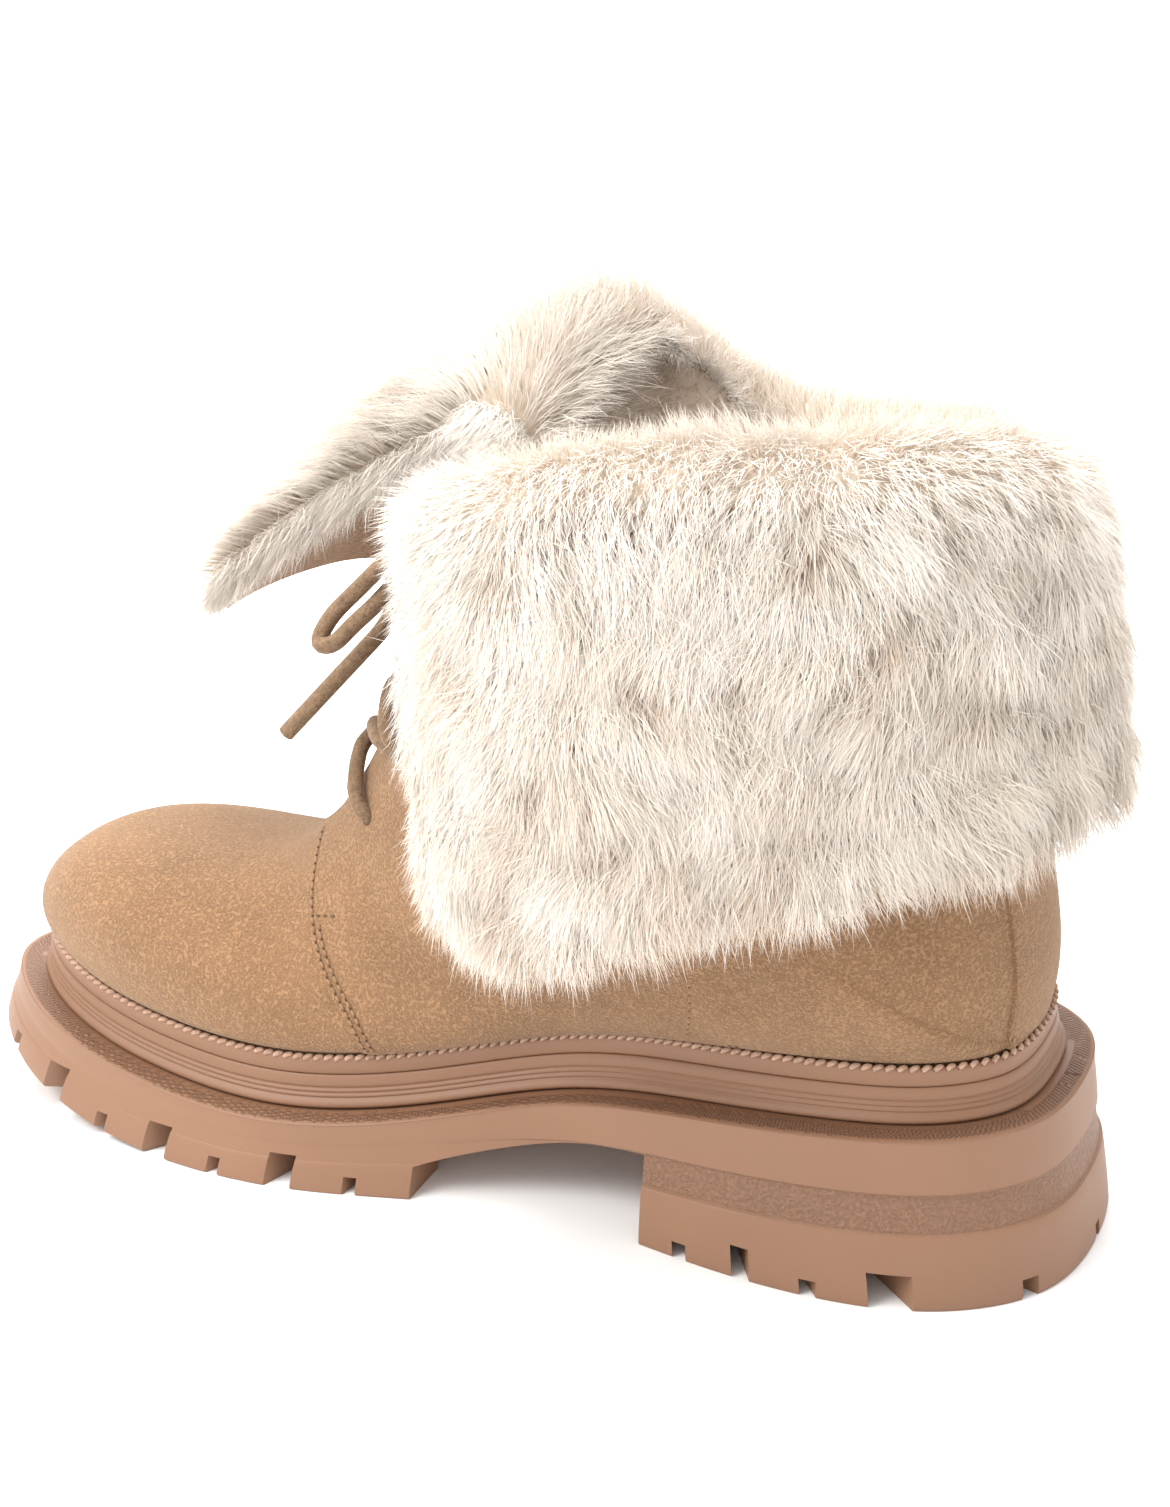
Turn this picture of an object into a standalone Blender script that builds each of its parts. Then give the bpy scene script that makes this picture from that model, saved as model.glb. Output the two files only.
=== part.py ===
"""Lace-up ankle boot for the right foot, with a turned-down fur cuff and a lug sole.

Lengths are metres. Inside the boot's own frame x runs from the back of the heel towards the toe,
y towards the inner side of the foot and z up from the floor. The empty named boot_frame carries
every piece and moves the origin to the floor under the middle of the heel.
"""

import math

import bmesh
import bpy
import numpy as np

# Driving dimensions of the sole
SOLE_LENGTH = 0.278
BALL_WIDTH = 0.096
HEEL_RISE = 0.054
HEEL_CENTRE = 0.045
HEEL_BREAST = 0.0913
TREAD_REAR = 0.149
TOE_SPRING = 0.0143
SPRING_START = 0.203
WALL_FLARE = 0.0048
LEDGE_WIDTH = 0.0056
RAND_HEIGHT = 0.0044
MIDSOLE_HEIGHT = 0.0082
RAND_INSET = 0.0091
RAND_THICKNESS = 0.0018
HEEL_BAND_RECESS = 0.0007

# Driving dimensions of the tread
LUG_PITCH = 0.0170
SMALL_NOTCH = (0.0030, 0.0044)
BIG_NOTCH = (0.0062, 0.0080)
CHANNEL_INSET = 0.0102
CHANNEL_WIDTH = 0.0040
CHANNEL_DEPTH = 0.0050
BAR_WIDTH = 0.0042
BAR_DEPTH = 0.0043

# Notches round the heel: distance behind the breast, width, depth
HEEL_NOTCHES = (
    (0.0083, 0.0030, 0.0042),
    (0.0234, 0.0036, 0.0080),
    (0.0389, 0.0032, 0.0042),
    (0.0569, 0.0080, 0.0086),
    (0.0836, 0.0040, 0.0050),
)

# Driving dimensions of the upper
RIM_HEIGHT = 0.168
UPPER_WALL = 0.0018
QUARTER_STEP = 0.0010
BACKSTAY_STEP = 0.0009
BACKSTAY_WIDTH = 0.034
THROAT_HALF_GAP = 0.0105
THROAT_HEIGHT = 0.076
VAMP_TOP_HEIGHT = 0.090
TONGUE_THICKNESS = 0.0030
TONGUE_HALF_WIDTH = 0.019
INSOLE_THICKNESS = 0.0040
FIT_GAP = 0.0003
SEAM_GAP = 0.0009

# Driving dimensions of the lacing
LACE_DIAMETER = 0.0040
LACE_SIDES = 6
LACE_STEPS = 6
KNOT_SIZE = (0.0090, 0.0115, 0.0090)
KNOT_ROW = 15.2
EYELET_RADIUS = 0.0022
EYELET_PAIRS = 4
EYELET_LOWEST = 0.0865
EYELET_HIGHEST = 0.140
EYELET_FROM_EDGE = 0.0085

# Driving dimensions of the cuff
CUFF_BACKING = 0.0011
FOLD_RADIUS = 0.0040
FOLD_RISE = 0.0010
FUR_FLAP = 0.0140
FUR_CREST = 0.0090
FUR_LINING = 0.0065
FUR_OVERHANG = 0.0075
LOCK_DEPTH = 0.0030
LOCK_LENGTH = 0.0210
CUFF_NEAR_START = 0.028
CUFF_FAR_START = 0.0135

# Mesh densities
HALF_RING = 20
SECTION_ROWS = 23
HALF_SECTION = 8
CUFF_STATIONS = 32

SUEDE = ("suede", (0.50, 0.32, 0.19), 0.95)
SOLE_RUBBER = ("sole_rubber", (0.47, 0.27, 0.19), 0.55)
FUR = ("fur", (0.78, 0.71, 0.63), 1.0)
LINING = ("lining", (0.72, 0.62, 0.50), 1.0)
LACE = ("lace", (0.26, 0.15, 0.08), 0.9)

# Plan of the sole's ledge: along is a share of SOLE_LENGTH, across a share of BALL_WIDTH, with the
# inner side of the foot positive, going from the heel up the inner side and back down the outer one.
PLAN = [
    (0.000, 0.000),
    (0.016, 0.234),
    (0.072, 0.377),
    (0.162, 0.434),
    (0.288, 0.401),
    (0.414, 0.344),
    (0.540, 0.401),
    (0.665, 0.474),
    (0.791, 0.451),
    (0.899, 0.365),
    (0.969, 0.234),
    (1.000, 0.083),
    (0.986, -0.089),
    (0.928, -0.271),
    (0.845, -0.411),
    (0.737, -0.505),
    (0.612, -0.526),
    (0.504, -0.479),
    (0.396, -0.422),
    (0.288, -0.417),
    (0.162, -0.434),
    (0.072, -0.377),
    (0.016, -0.234),
]
TOE_TIP_ROW = 11

# Height of the rand's top edge: along is a share of SOLE_LENGTH, height a share of HEEL_RISE.
SEAT = [
    (0.000, 1.000),
    (0.108, 0.981),
    (0.216, 0.935),
    (0.324, 0.852),
    (0.432, 0.731),
    (0.540, 0.593),
    (0.647, 0.528),
    (0.755, 0.537),
    (0.863, 0.602),
    (1.000, 0.760),
]

# Side of the midsole: share of its height down from the top, and how far the level stands out from
# the rand's outer face, as a share of the room between the rand and the ledge.
MIDSOLE_RIBS = [
    (0.00, 0.00),
    (0.08, -0.14),
    (0.18, 0.08),
    (0.38, 0.20),
    (0.47, 0.06),
    (0.56, 0.34),
    (0.72, 0.50),
    (0.82, 0.66),
    (0.95, 0.86),
    (1.00, 0.62),
]

# Outsole wall: drop is the share of the height from the ledge to the floor, flare the share of
# WALL_FLARE that it has spread outwards, recess the share of HEEL_BAND_RECESS round the heel.
WALL = [
    (0.035, -0.10, 0.0),
    (0.080, 0.00, 0.0),
    (0.320, 0.22, 0.0),
    (0.335, 0.22, 1.0),
    (0.550, 0.52, 1.0),
    (0.565, 0.56, 0.0),
    (0.960, 1.00, 0.0),
    (1.000, 0.90, 0.0),
]

# Underside of the waist between the tread and the heel: along is the share of the way from the
# tread's rear edge to the heel breast, height a share of HEEL_RISE.
ARCH = [
    (0.00, 0.148),
    (0.10, 0.185),
    (0.30, 0.250),
    (0.55, 0.322),
    (0.78, 0.372),
    (1.00, 0.398),
]

# Sections of the upper, fanned from the toe to the rim of the shaft. Each goes from a point on the
# front ridge down both sides to the feather edge or the back seam.
# ridge_x: share of SOLE_LENGTH. ridge_y, inner, outer: shares of BALL_WIDTH. ridge_z: share of
# RIM_HEIGHT. seat: 0 at the toe, 1 at the heel along the feather edge, then 2 at the rim up the back.
# widest: share of the way down where the section is widest. crown, base: roundness above and below.
SECTION_COLUMNS = ("ridge_x", "ridge_y", "ridge_z", "seat", "inner", "outer", "widest", "crown", "base")
SECTIONS = [
    (0.9600, 0.066, 0.2373, 0.000, 0.030, 0.030, 0.80, 2.2, 3.0),
    (0.9610, 0.068, 0.2850, 0.045, 0.126, 0.142, 0.80, 2.3, 3.0),
    (0.9490, 0.068, 0.3300, 0.095, 0.206, 0.248, 0.78, 2.4, 3.0),
    (0.9230, 0.067, 0.3700, 0.155, 0.275, 0.358, 0.76, 2.4, 3.0),
    (0.8830, 0.062, 0.3920, 0.220, 0.325, 0.436, 0.74, 2.4, 3.0),
    (0.8330, 0.052, 0.3960, 0.290, 0.354, 0.480, 0.72, 2.3, 3.0),
    (0.7770, 0.042, 0.3930, 0.360, 0.352, 0.486, 0.70, 2.2, 3.0),
    (0.7230, 0.031, 0.4020, 0.430, 0.330, 0.464, 0.68, 2.1, 3.0),
    (0.6800, 0.021, 0.4400, 0.500, 0.315, 0.432, 0.66, 2.0, 2.9),
    (0.6457, 0.010, 0.5080, 0.570, 0.315, 0.406, 0.63, 2.0, 2.8),
    (0.6170, 0.000, 0.5850, 0.640, 0.340, 0.396, 0.61, 2.0, 2.7),
    (0.5935, 0.000, 0.6569, 0.710, 0.370, 0.401, 0.59, 2.0, 2.6),
    (0.5737, 0.000, 0.7194, 0.780, 0.396, 0.417, 0.57, 2.0, 2.5),
    (0.5576, 0.000, 0.7787, 0.850, 0.417, 0.432, 0.55, 2.0, 2.5),
    (0.5450, 0.000, 0.8328, 0.910, 0.437, 0.448, 0.53, 2.1, 2.5),
    (0.5360, 0.000, 0.8780, 0.960, 0.450, 0.455, 0.52, 2.1, 2.4),
    (0.5295, 0.000, 0.9080, 1.000, 0.458, 0.461, 0.50, 2.1, 2.3),
    (0.5252, 0.000, 0.9260, 1.200, 0.463, 0.463, 0.49, 2.2, 2.1),
    (0.5223, 0.000, 0.9380, 1.450, 0.466, 0.466, 0.48, 2.2, 2.0),
    (0.5201, 0.000, 0.9490, 1.720, 0.468, 0.468, 0.48, 2.2, 2.0),
    (0.5180, 0.000, 0.9600, 2.000, 0.470, 0.470, 0.48, 2.2, 2.0),
]
HEEL_ROW = 16
LAST_ROW = 20

# Back seam above the heel: rise is the share of the way from the seat to the rim, back a share of
# SOLE_LENGTH forward of the feather edge.
BACK_SEAM = [
    (0.00, 0.000),
    (0.10, -0.006),
    (0.22, -0.003),
    (0.38, 0.006),
    (0.58, 0.018),
    (0.78, 0.027),
    (1.00, 0.032),
]

# Front edge of the quarters seen from the side: along is a share of SOLE_LENGTH, height a share of
# RIM_HEIGHT.
QUARTER_EDGE = [
    (0.584, 0.106),
    (0.592, 0.190),
    (0.604, 0.246),
    (0.621, 0.288),
    (0.638, 0.333),
    (0.651, 0.380),
    (0.661, 0.431),
    (0.667, 0.462),
    (0.678, 0.495),
    (0.710, 0.540),
    (0.800, 0.593),
]

# The turned-down cuff, going from its inner front end round the back to its outer front end.
# turn: degrees that the flap swings from square to the rim, towards the back of the boot.
# lean and tip_lean: degrees that it stands out from hanging, at the fold and at the hem.
# sweep: degrees that it trails backwards. length: flap, share of RIM_HEIGHT. lift: extra height of
# the fold, share of RIM_HEIGHT.
CUFF = [
    (0.00, 8.0, 0.0, 0.0, 3.0, 0.50, 0.000),
    (0.08, 4.0, 1.0, -2.0, 3.0, 0.56, 0.050),
    (0.18, 0.0, 2.0, -3.0, 2.0, 0.54, 0.095),
    (0.30, 0.0, 1.0, -3.0, 0.0, 0.48, 0.095),
    (0.42, 0.0, 3.0, 3.0, 0.0, 0.43, 0.065),
    (0.50, 0.0, 6.0, 5.0, 0.0, 0.41, 0.025),
    (0.58, 0.0, 5.0, 3.0, 0.0, 0.44, 0.010),
    (0.70, 0.0, 2.0, 0.0, 0.0, 0.48, 0.000),
    (0.78, -2.0, 6.0, 4.0, 0.0, 0.54, 0.020),
    (0.83, -20.0, 22.0, 18.0, 0.0, 0.58, 0.085),
    (0.88, -36.0, 42.0, 40.0, 0.0, 0.62, 0.145),
    (0.94, -30.0, 53.0, 47.0, 0.0, 0.62, 0.120),
    (1.00, -14.0, 62.0, 50.0, 0.0, 0.56, 0.020),
]


def natural_spline(knots, rows):
    """A function that reads a smooth curve through rows of numbers at any place along their knots."""
    knots = np.asarray(knots, float)
    rows = np.asarray(rows, float)
    count = len(knots)
    gaps = np.diff(knots)
    matrix = np.eye(count)
    right = np.zeros_like(rows)
    for i in range(1, count - 1):
        matrix[i, i - 1] = gaps[i - 1]
        matrix[i, i] = 2 * (gaps[i - 1] + gaps[i])
        matrix[i, i + 1] = gaps[i]
        right[i] = 6 * ((rows[i + 1] - rows[i]) / gaps[i] - (rows[i] - rows[i - 1]) / gaps[i - 1])
    bends = np.linalg.solve(matrix, right)

    def read(at):
        at = np.clip(np.atleast_1d(np.asarray(at, float)), knots[0], knots[-1])
        i = np.clip(np.searchsorted(knots, at, side="right") - 1, 0, count - 2)
        gap = gaps[i]
        after = at - knots[i]
        before = gap - after
        shape = (-1,) + (1,) * (rows.ndim - 1)
        gap, after, before = (part.reshape(shape) for part in (gap, after, before))
        cubic = (bends[i] * before**3 + bends[i + 1] * after**3) / (6 * gap)
        low = (rows[i] / gap - bends[i] * gap / 6) * before
        high = (rows[i + 1] / gap - bends[i + 1] * gap / 6) * after
        return cubic + low + high

    return read


def table_reader(table, along, scale=1.0):
    """Reads a table's other columns against its first one, which is scaled to a real length."""
    table = np.asarray(table, float)
    return natural_spline(table[:, along] * scale, np.delete(table, along, axis=1))


def closed_curve(points, steps):
    """A smooth closed curve through points, with the same number of steps between each pair."""
    points = np.asarray(points, float)
    count = len(points)
    gaps = np.linalg.norm(np.roll(points, -1, 0) - points, axis=1)
    matrix = np.zeros((count, count))
    right = np.zeros_like(points)
    for i in range(count):
        after = (i + 1) % count
        matrix[i, i - 1] += gaps[i - 1]
        matrix[i, i] += 2 * (gaps[i - 1] + gaps[i])
        matrix[i, after] += gaps[i]
        right[i] = 6 * ((points[after] - points[i]) / gaps[i] - (points[i] - points[i - 1]) / gaps[i - 1])
    bends = np.linalg.solve(matrix, right)
    curve = []
    for i in range(count):
        after = (i + 1) % count
        gap = gaps[i]
        run = np.linspace(0, gap, steps, endpoint=False)[:, None]
        cubic = (bends[i] * (gap - run) ** 3 + bends[after] * run**3) / (6 * gap)
        low = (points[i] / gap - bends[i] * gap / 6) * (gap - run)
        high = (points[after] / gap - bends[after] * gap / 6) * run
        curve.append(cubic + low + high)
    return np.concatenate(curve)


def unit(vectors):
    """Vectors scaled to length one."""
    lengths = np.linalg.norm(vectors, axis=-1, keepdims=True)
    return vectors / np.maximum(lengths, 1e-12)


# The sole's plan
PLAN_STEPS = 24
PLAN_CURVE = closed_curve(np.array(PLAN) * (SOLE_LENGTH, BALL_WIDTH), PLAN_STEPS)
PLAN_HEADING = unit(np.roll(PLAN_CURVE, -1, 0) - np.roll(PLAN_CURVE, 1, 0))
PLAN_INWARD = np.stack([PLAN_HEADING[:, 1], -PLAN_HEADING[:, 0]], axis=1)
TOE_TIP = TOE_TIP_ROW * PLAN_STEPS


def half_plan(side, inset):
    """Dense plan points from the toe tip to the back of the heel, on the inner (1) or outer (-1) side."""
    curve = PLAN_CURVE + PLAN_INWARD * inset
    if side > 0:
        return curve[: TOE_TIP + 1][::-1]
    return np.concatenate([curve[TOE_TIP:], curve[:1]])


def along_half(side, inset, shares):
    """Plan points at shares of the way from the toe tip (0) to the back of the heel (1)."""
    line = half_plan(side, inset)
    run = np.concatenate([[0], np.cumsum(np.linalg.norm(np.diff(line, axis=0), axis=1))])
    at = np.asarray(shares) * run[-1]
    return np.stack([np.interp(at, run, line[:, 0]), np.interp(at, run, line[:, 1])], axis=1)


def ring(inset, height):
    """Both halves of one level of the sole, as (2, n, 3) points with height a function of x."""
    shares = np.linspace(0, 1, HALF_RING + 1)
    halves = []
    for side in (1, -1):
        if np.ndim(inset):
            flat = along_half(side, 0.0, shares)
            inward = (along_half(side, 0.001, shares) - flat) / 0.001
            flat = flat + inward * np.asarray(inset)[:, None]
        else:
            flat = along_half(side, inset, shares)
        halves.append(np.column_stack([flat, height(flat[:, 0])]))
    return np.array(halves)


READ_SEAT = table_reader(SEAT, 0, SOLE_LENGTH)
READ_ARCH = table_reader(ARCH, 0)
READ_BACK = table_reader(BACK_SEAM, 0)


def seat_height(x):
    """Height of the rand's top edge, where the upper meets the sole."""
    return READ_SEAT(x)[:, 0] * HEEL_RISE


def ground_height(x):
    """Height of the tread above the floor: flat under heel and ball, rising to the toe."""
    rise = np.clip((np.asarray(x) - SPRING_START) / (SOLE_LENGTH - SPRING_START), 0, None)
    return TOE_SPRING * rise**2


def midsole_top(x):
    return seat_height(x) - RAND_HEIGHT


def ledge_height(x):
    return midsole_top(x) - MIDSOLE_HEIGHT - FIT_GAP


# Blender helpers
def clear_scene():
    for obj in list(bpy.data.objects):
        bpy.data.objects.remove(obj, do_unlink=True)


def material(look):
    name, colour, roughness = look
    found = bpy.data.materials.get(name)
    if found:
        return found
    made = bpy.data.materials.new(name)
    made.use_nodes = True
    shader = made.node_tree.nodes["Principled BSDF"]
    shader.inputs["Base Color"].default_value = (*colour, 1.0)
    shader.inputs["Roughness"].default_value = roughness
    shader.inputs["Metallic"].default_value = 0.0
    return made


def add_piece(name, shape, look, frame):
    """Turns a bmesh into a named object on the boot's frame, with its faces pointing out."""
    bmesh.ops.triangulate(shape, faces=shape.faces)
    bmesh.ops.recalc_face_normals(shape, faces=shape.faces)
    mesh = bpy.data.meshes.new(name)
    shape.to_mesh(mesh)
    shape.free()
    mesh.materials.append(material(look))
    mesh.shade_smooth()
    mesh.set_sharp_from_angle(angle=math.radians(35))
    obj = bpy.data.objects.new(name, mesh)
    bpy.context.scene.collection.objects.link(obj)
    obj.parent = frame
    return obj


def add_cutter(name, shape, frame):
    """A closed shape that only cuts or joins other pieces."""
    obj = add_piece(name, shape, SUEDE, frame)
    obj.hide_render = True
    obj.display_type = "WIRE"
    return obj


def boolean(obj, other, operation, solver="EXACT"):
    """Adds a Boolean step. The manifold solver is for cutters whose own shapes meet."""
    step = obj.modifiers.new(f"{operation.lower()} {other.name}", "BOOLEAN")
    step.operation = operation
    step.solver = solver
    step.object = other


def skin_grid(shape, grid):
    """Adds a rows by columns grid of points to a bmesh as triangles, and returns its vertices."""
    verts = [[shape.verts.new(point) for point in row] for row in grid]
    for above, below in zip(verts, verts[1:]):
        for i in range(len(above) - 1):
            shape.faces.new((above[i], above[i + 1], below[i]))
            shape.faces.new((above[i + 1], below[i + 1], below[i]))
    return verts


def weld(shape):
    bmesh.ops.remove_doubles(shape, verts=shape.verts, dist=1e-5)


def bridge(shape, first, second):
    """Joins two rows of vertices of the same length with quads."""
    for i in range(len(first) - 1):
        shape.faces.new((first[i], first[i + 1], second[i + 1], second[i]))


def layered_solid(rings):
    """A closed solid from levels of the sole listed from top to bottom, flat across at both ends."""
    shape = bmesh.new()
    levels = [[[shape.verts.new(point) for point in half] for half in level] for level in rings]
    for above, below in zip(levels, levels[1:]):
        for side in (0, 1):
            bridge(shape, above[side], below[side])
    for level in (levels[0], levels[-1]):
        bridge(shape, level[0], level[1])
    weld(shape)
    return shape


def framed_solid(rings):
    """A closed frame from four levels: outer top, outer bottom, inner bottom and inner top."""
    shape = bmesh.new()
    levels = [[[shape.verts.new(point) for point in half] for half in level] for level in rings]
    for above, below in zip(levels, levels[1:] + levels[:1]):
        for side in (0, 1):
            bridge(shape, above[side], below[side])
    weld(shape)
    return shape


def thickened(shape, high, low):
    """Closes an open surface into a wall between two offsets along its vertex normals."""
    weld(shape)
    bmesh.ops.recalc_face_normals(shape, faces=shape.faces)
    shape.normal_update()
    edges = [edge for edge in shape.edges if edge.is_boundary]
    faces = list(shape.faces)
    outer = list(shape.verts)
    inner = {vert: shape.verts.new(vert.co + vert.normal * low) for vert in outer}
    moves = [vert.normal * high for vert in outer]
    for vert, move in zip(outer, moves):
        vert.co += move
    for face in faces:
        shape.faces.new([inner[vert] for vert in reversed(face.verts)])
    for edge in edges:
        first, second = edge.verts
        shape.faces.new((first, second, inner[second], inner[first]))
    return shape


def prism(outline, low, high, axis):
    """A closed prism over a polygon, along y (axis 1) or x (axis 0)."""
    shape = bmesh.new()
    ends = []
    for level in (low, high):
        points = [(level, a, b) if axis == 0 else (a, level, b) for a, b in outline]
        ends.append([shape.verts.new(point) for point in points])
    shape.faces.new(ends[0])
    shape.faces.new(list(reversed(ends[1])))
    for i in range(len(outline)):
        after = (i + 1) % len(outline)
        shape.faces.new((ends[0][i], ends[0][after], ends[1][after], ends[1][i]))
    return shape


def add_block(shape, centre, along, length, width, low, high):
    """Adds a box to a bmesh, with its length along a plan direction."""
    along = np.array(along)
    across = np.array((-along[1], along[0]))
    corners = []
    for level in (low, high):
        for a, b in ((-1, -1), (1, -1), (1, 1), (-1, 1)):
            flat = centre + along * (a * length / 2) + across * (b * width / 2)
            corners.append(shape.verts.new((*flat, level)))
    for face in ((0, 3, 2, 1), (4, 5, 6, 7), (0, 1, 5, 4), (1, 2, 6, 5), (2, 3, 7, 6), (3, 0, 4, 7)):
        shape.faces.new([corners[i] for i in face])


# The sole
def heel_share(x):
    """1 under the heel, 0 under the tread."""
    start, end = HEEL_BREAST, TREAD_REAR
    share = np.clip((end - np.asarray(x)) / (end - start), 0, 1)
    return share * share * (3 - 2 * share)


def wall_ring(drop, flare, recess):
    """One level of the outsole's side wall, between the ledge and the tread."""
    shares = np.linspace(0, 1, HALF_RING + 1)
    halves = []
    for side in (1, -1):
        flat = along_half(side, 0.0, shares)
        inward = (along_half(side, 0.001, shares) - flat) / 0.001
        inset = recess * HEEL_BAND_RECESS * heel_share(flat[:, 0]) - flare * WALL_FLARE
        flat = flat + inward * inset[:, None]
        top = ledge_height(flat[:, 0])
        bottom = ground_height(flat[:, 0])
        halves.append(np.column_stack([flat, top + (bottom - top) * drop]))
    return np.array(halves)


def notch_cutters():
    """The notches between the lugs round the edge of tread and heel, big and small in turn."""
    shape = bmesh.new()
    shares = np.linspace(0, 1, 2000)
    outer_end = -2 * WALL_FLARE
    inner_end = CHANNEL_INSET + CHANNEL_WIDTH / 2
    middle = (outer_end + inner_end) / 2
    reach = inner_end - outer_end
    for side in (1, -1):
        edge = along_half(side, 0.0, shares)
        inward = unit(along_half(side, 0.001, shares) - edge)
        tread = [TREAD_REAR + LUG_PITCH * (k + 0.82) for k in range(7)]
        places = [(x, BIG_NOTCH if k % 2 else SMALL_NOTCH) for k, x in enumerate(tread)]
        places += [(HEEL_BREAST - behind, (width, depth)) for behind, width, depth in HEEL_NOTCHES]
        for x, (width, depth) in places:
            i = int(np.argmin(np.abs(edge[:, 0] - x)))
            top = float(ground_height(x)) + depth
            add_block(shape, edge[i] + inward[i] * middle, inward[i], reach, width, -0.01, top)
    width, depth = SMALL_NOTCH
    back = np.array((middle, 0.0))
    add_block(shape, back, (1, 0), reach, width, -0.01, depth)
    return shape


def channel_cutter():
    """The groove that runs round inside the edge lugs."""
    outer = CHANNEL_INSET
    inner = outer + CHANNEL_WIDTH
    top = lambda x: ground_height(x) + CHANNEL_DEPTH
    low = lambda x: np.full_like(x, -0.01)
    return framed_solid([ring(outer, top), ring(outer, low), ring(inner, low), ring(inner, top)])


def bar_cutters():
    """The straight grooves across the middle of the tread and of the heel."""
    shape = bmesh.new()
    shares = np.linspace(0, 1, 2000)
    inset = CHANNEL_INSET + CHANNEL_WIDTH / 2
    halves = [along_half(side, inset, shares) for side in (1, -1)]
    places = [TREAD_REAR + LUG_PITCH * (k + 0.82) for k in range(6)]
    places += [HEEL_BREAST - row[0] for row in HEEL_NOTCHES[:4]]
    for x in places:
        left, right = (float(half[np.argmin(np.abs(half[:, 0] - x)), 1]) for half in halves)
        top = float(ground_height(x)) + BAR_DEPTH
        centre = np.array((x, (left + right) / 2))
        add_block(shape, centre, (0, 1), left - right, BAR_WIDTH, -0.01, top)
    return shape


def build_outsole(frame):
    rings = [
        ring(LEDGE_WIDTH, ledge_height),
        ring(LEDGE_WIDTH * 0.25, lambda x: ledge_height(x) - 0.0004),
    ]
    rings += [wall_ring(*row) for row in WALL]
    outsole = add_piece("outsole", layered_solid(rings), SOLE_RUBBER, frame)

    shares = np.linspace(0, 1, 9)
    arch_x = TREAD_REAR + (HEEL_BREAST - TREAD_REAR) * shares
    arch_z = READ_ARCH(shares)[:, 0] * HEEL_RISE
    below = [(HEEL_BREAST, -0.01), (TREAD_REAR + 0.001, -0.01)]
    arch = prism(list(zip(arch_x, arch_z)) + below, -BALL_WIDTH, BALL_WIDTH, 1)
    boolean(outsole, add_cutter("waist_cutter", arch, frame), "DIFFERENCE")
    for name, shape in (("channel", channel_cutter()), ("notch", notch_cutters()), ("bar", bar_cutters())):
        cutter = add_cutter(f"{name}_cutter", shape, frame)
        boolean(outsole, cutter, "DIFFERENCE", "MANIFOLD")


def build_midsole(frame):
    room = RAND_INSET - LEDGE_WIDTH
    rings = []
    for depth, spread in MIDSOLE_RIBS:
        drop = depth * MIDSOLE_HEIGHT
        rings.append(ring(RAND_INSET - spread * room, lambda x, drop=drop: midsole_top(x) - drop))
    add_piece("midsole", layered_solid(rings), SOLE_RUBBER, frame)


def build_rand(frame):
    """The stitched strip that stands round the foot of the upper."""
    low = lambda x: midsole_top(x) + FIT_GAP
    inner = RAND_INSET + RAND_THICKNESS
    rings = [
        ring(RAND_INSET, seat_height),
        ring(RAND_INSET, low),
        ring(inner, low),
        ring(inner, seat_height),
    ]
    add_piece("rand", framed_solid(rings), SOLE_RUBBER, frame)


FEATHER_INSET = RAND_INSET + RAND_THICKNESS + SEAM_GAP


def build_insole(frame):
    inset = FEATHER_INSET + UPPER_WALL + SEAM_GAP * 1.4
    low = lambda x: midsole_top(x) + FIT_GAP
    rings = [
        ring(inset + 0.001, lambda x: low(x) + INSOLE_THICKNESS),
        ring(inset, lambda x: low(x) + INSOLE_THICKNESS * 0.75),
        ring(inset, low),
    ]
    add_piece("insole", layered_solid(rings), LINING, frame)


# The upper
READ_SECTIONS = natural_spline(range(len(SECTIONS)), SECTIONS)


def back_seam(rise):
    """Points up the back seam, from the feather edge (0) to the rim (1)."""
    start = half_plan(1, FEATHER_INSET)[-1]
    foot = float(seat_height(start[0])[0])
    x = start[0] + READ_BACK(rise)[:, 0] * SOLE_LENGTH
    z = foot + (RIM_HEIGHT - foot) * np.asarray(rise)
    return np.column_stack([x, np.zeros_like(x), z])


def upper_surface(row, side, shares):
    """Points of the upper's outer face on one section, from the ridge (0) to the feather edge or
    the back seam (1), on the inner (1) or outer (-1) side."""
    section = dict(zip(SECTION_COLUMNS, READ_SECTIONS(row)[0]))
    seat, widest, crown, base = (section[name] for name in ("seat", "widest", "crown", "base"))
    shares = np.asarray(shares, float)
    ridge = np.array([section[name] for name in ("ridge_x", "ridge_y", "ridge_z")])
    top = ridge * (SOLE_LENGTH, BALL_WIDTH, RIM_HEIGHT)
    if seat <= 1:
        flat = along_half(side, FEATHER_INSET, [seat])[0]
        foot = np.array((*flat, float(seat_height(flat[0])[0])))
    else:
        foot = back_seam([seat - 1])[0]
    width = section["inner" if side > 0 else "outer"] * BALL_WIDTH
    reach = min(abs(foot[1] - top[1]) / width, 0.999)
    closing = (1 - reach**base) ** (1 / base)
    above = np.clip((widest - shares) / widest, 0, 1)
    below = np.clip((shares - widest) / (1 - widest), 0, 1) * closing
    spread = (1 - above**crown) ** (1 / crown) * (1 - below**base) ** (1 / base)
    points = top + (foot - top) * shares[:, None]
    points[:, 1] = top[1] + side * width * spread
    if row < 1e-6:
        points[:] = foot
    return points


def section_line(row, side, count):
    """Points at even steps down one side of a section, from the ridge to the foot."""
    points = upper_surface(row, side, (1 - np.cos(np.linspace(0, np.pi, 160))) / 2)
    run = np.concatenate([[0], np.cumsum(np.linalg.norm(np.diff(points, axis=0), axis=1))])
    even = np.linspace(0, run[-1], count + 1)
    return np.stack([np.interp(even, run, points[:, axis]) for axis in range(3)], axis=1)


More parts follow.
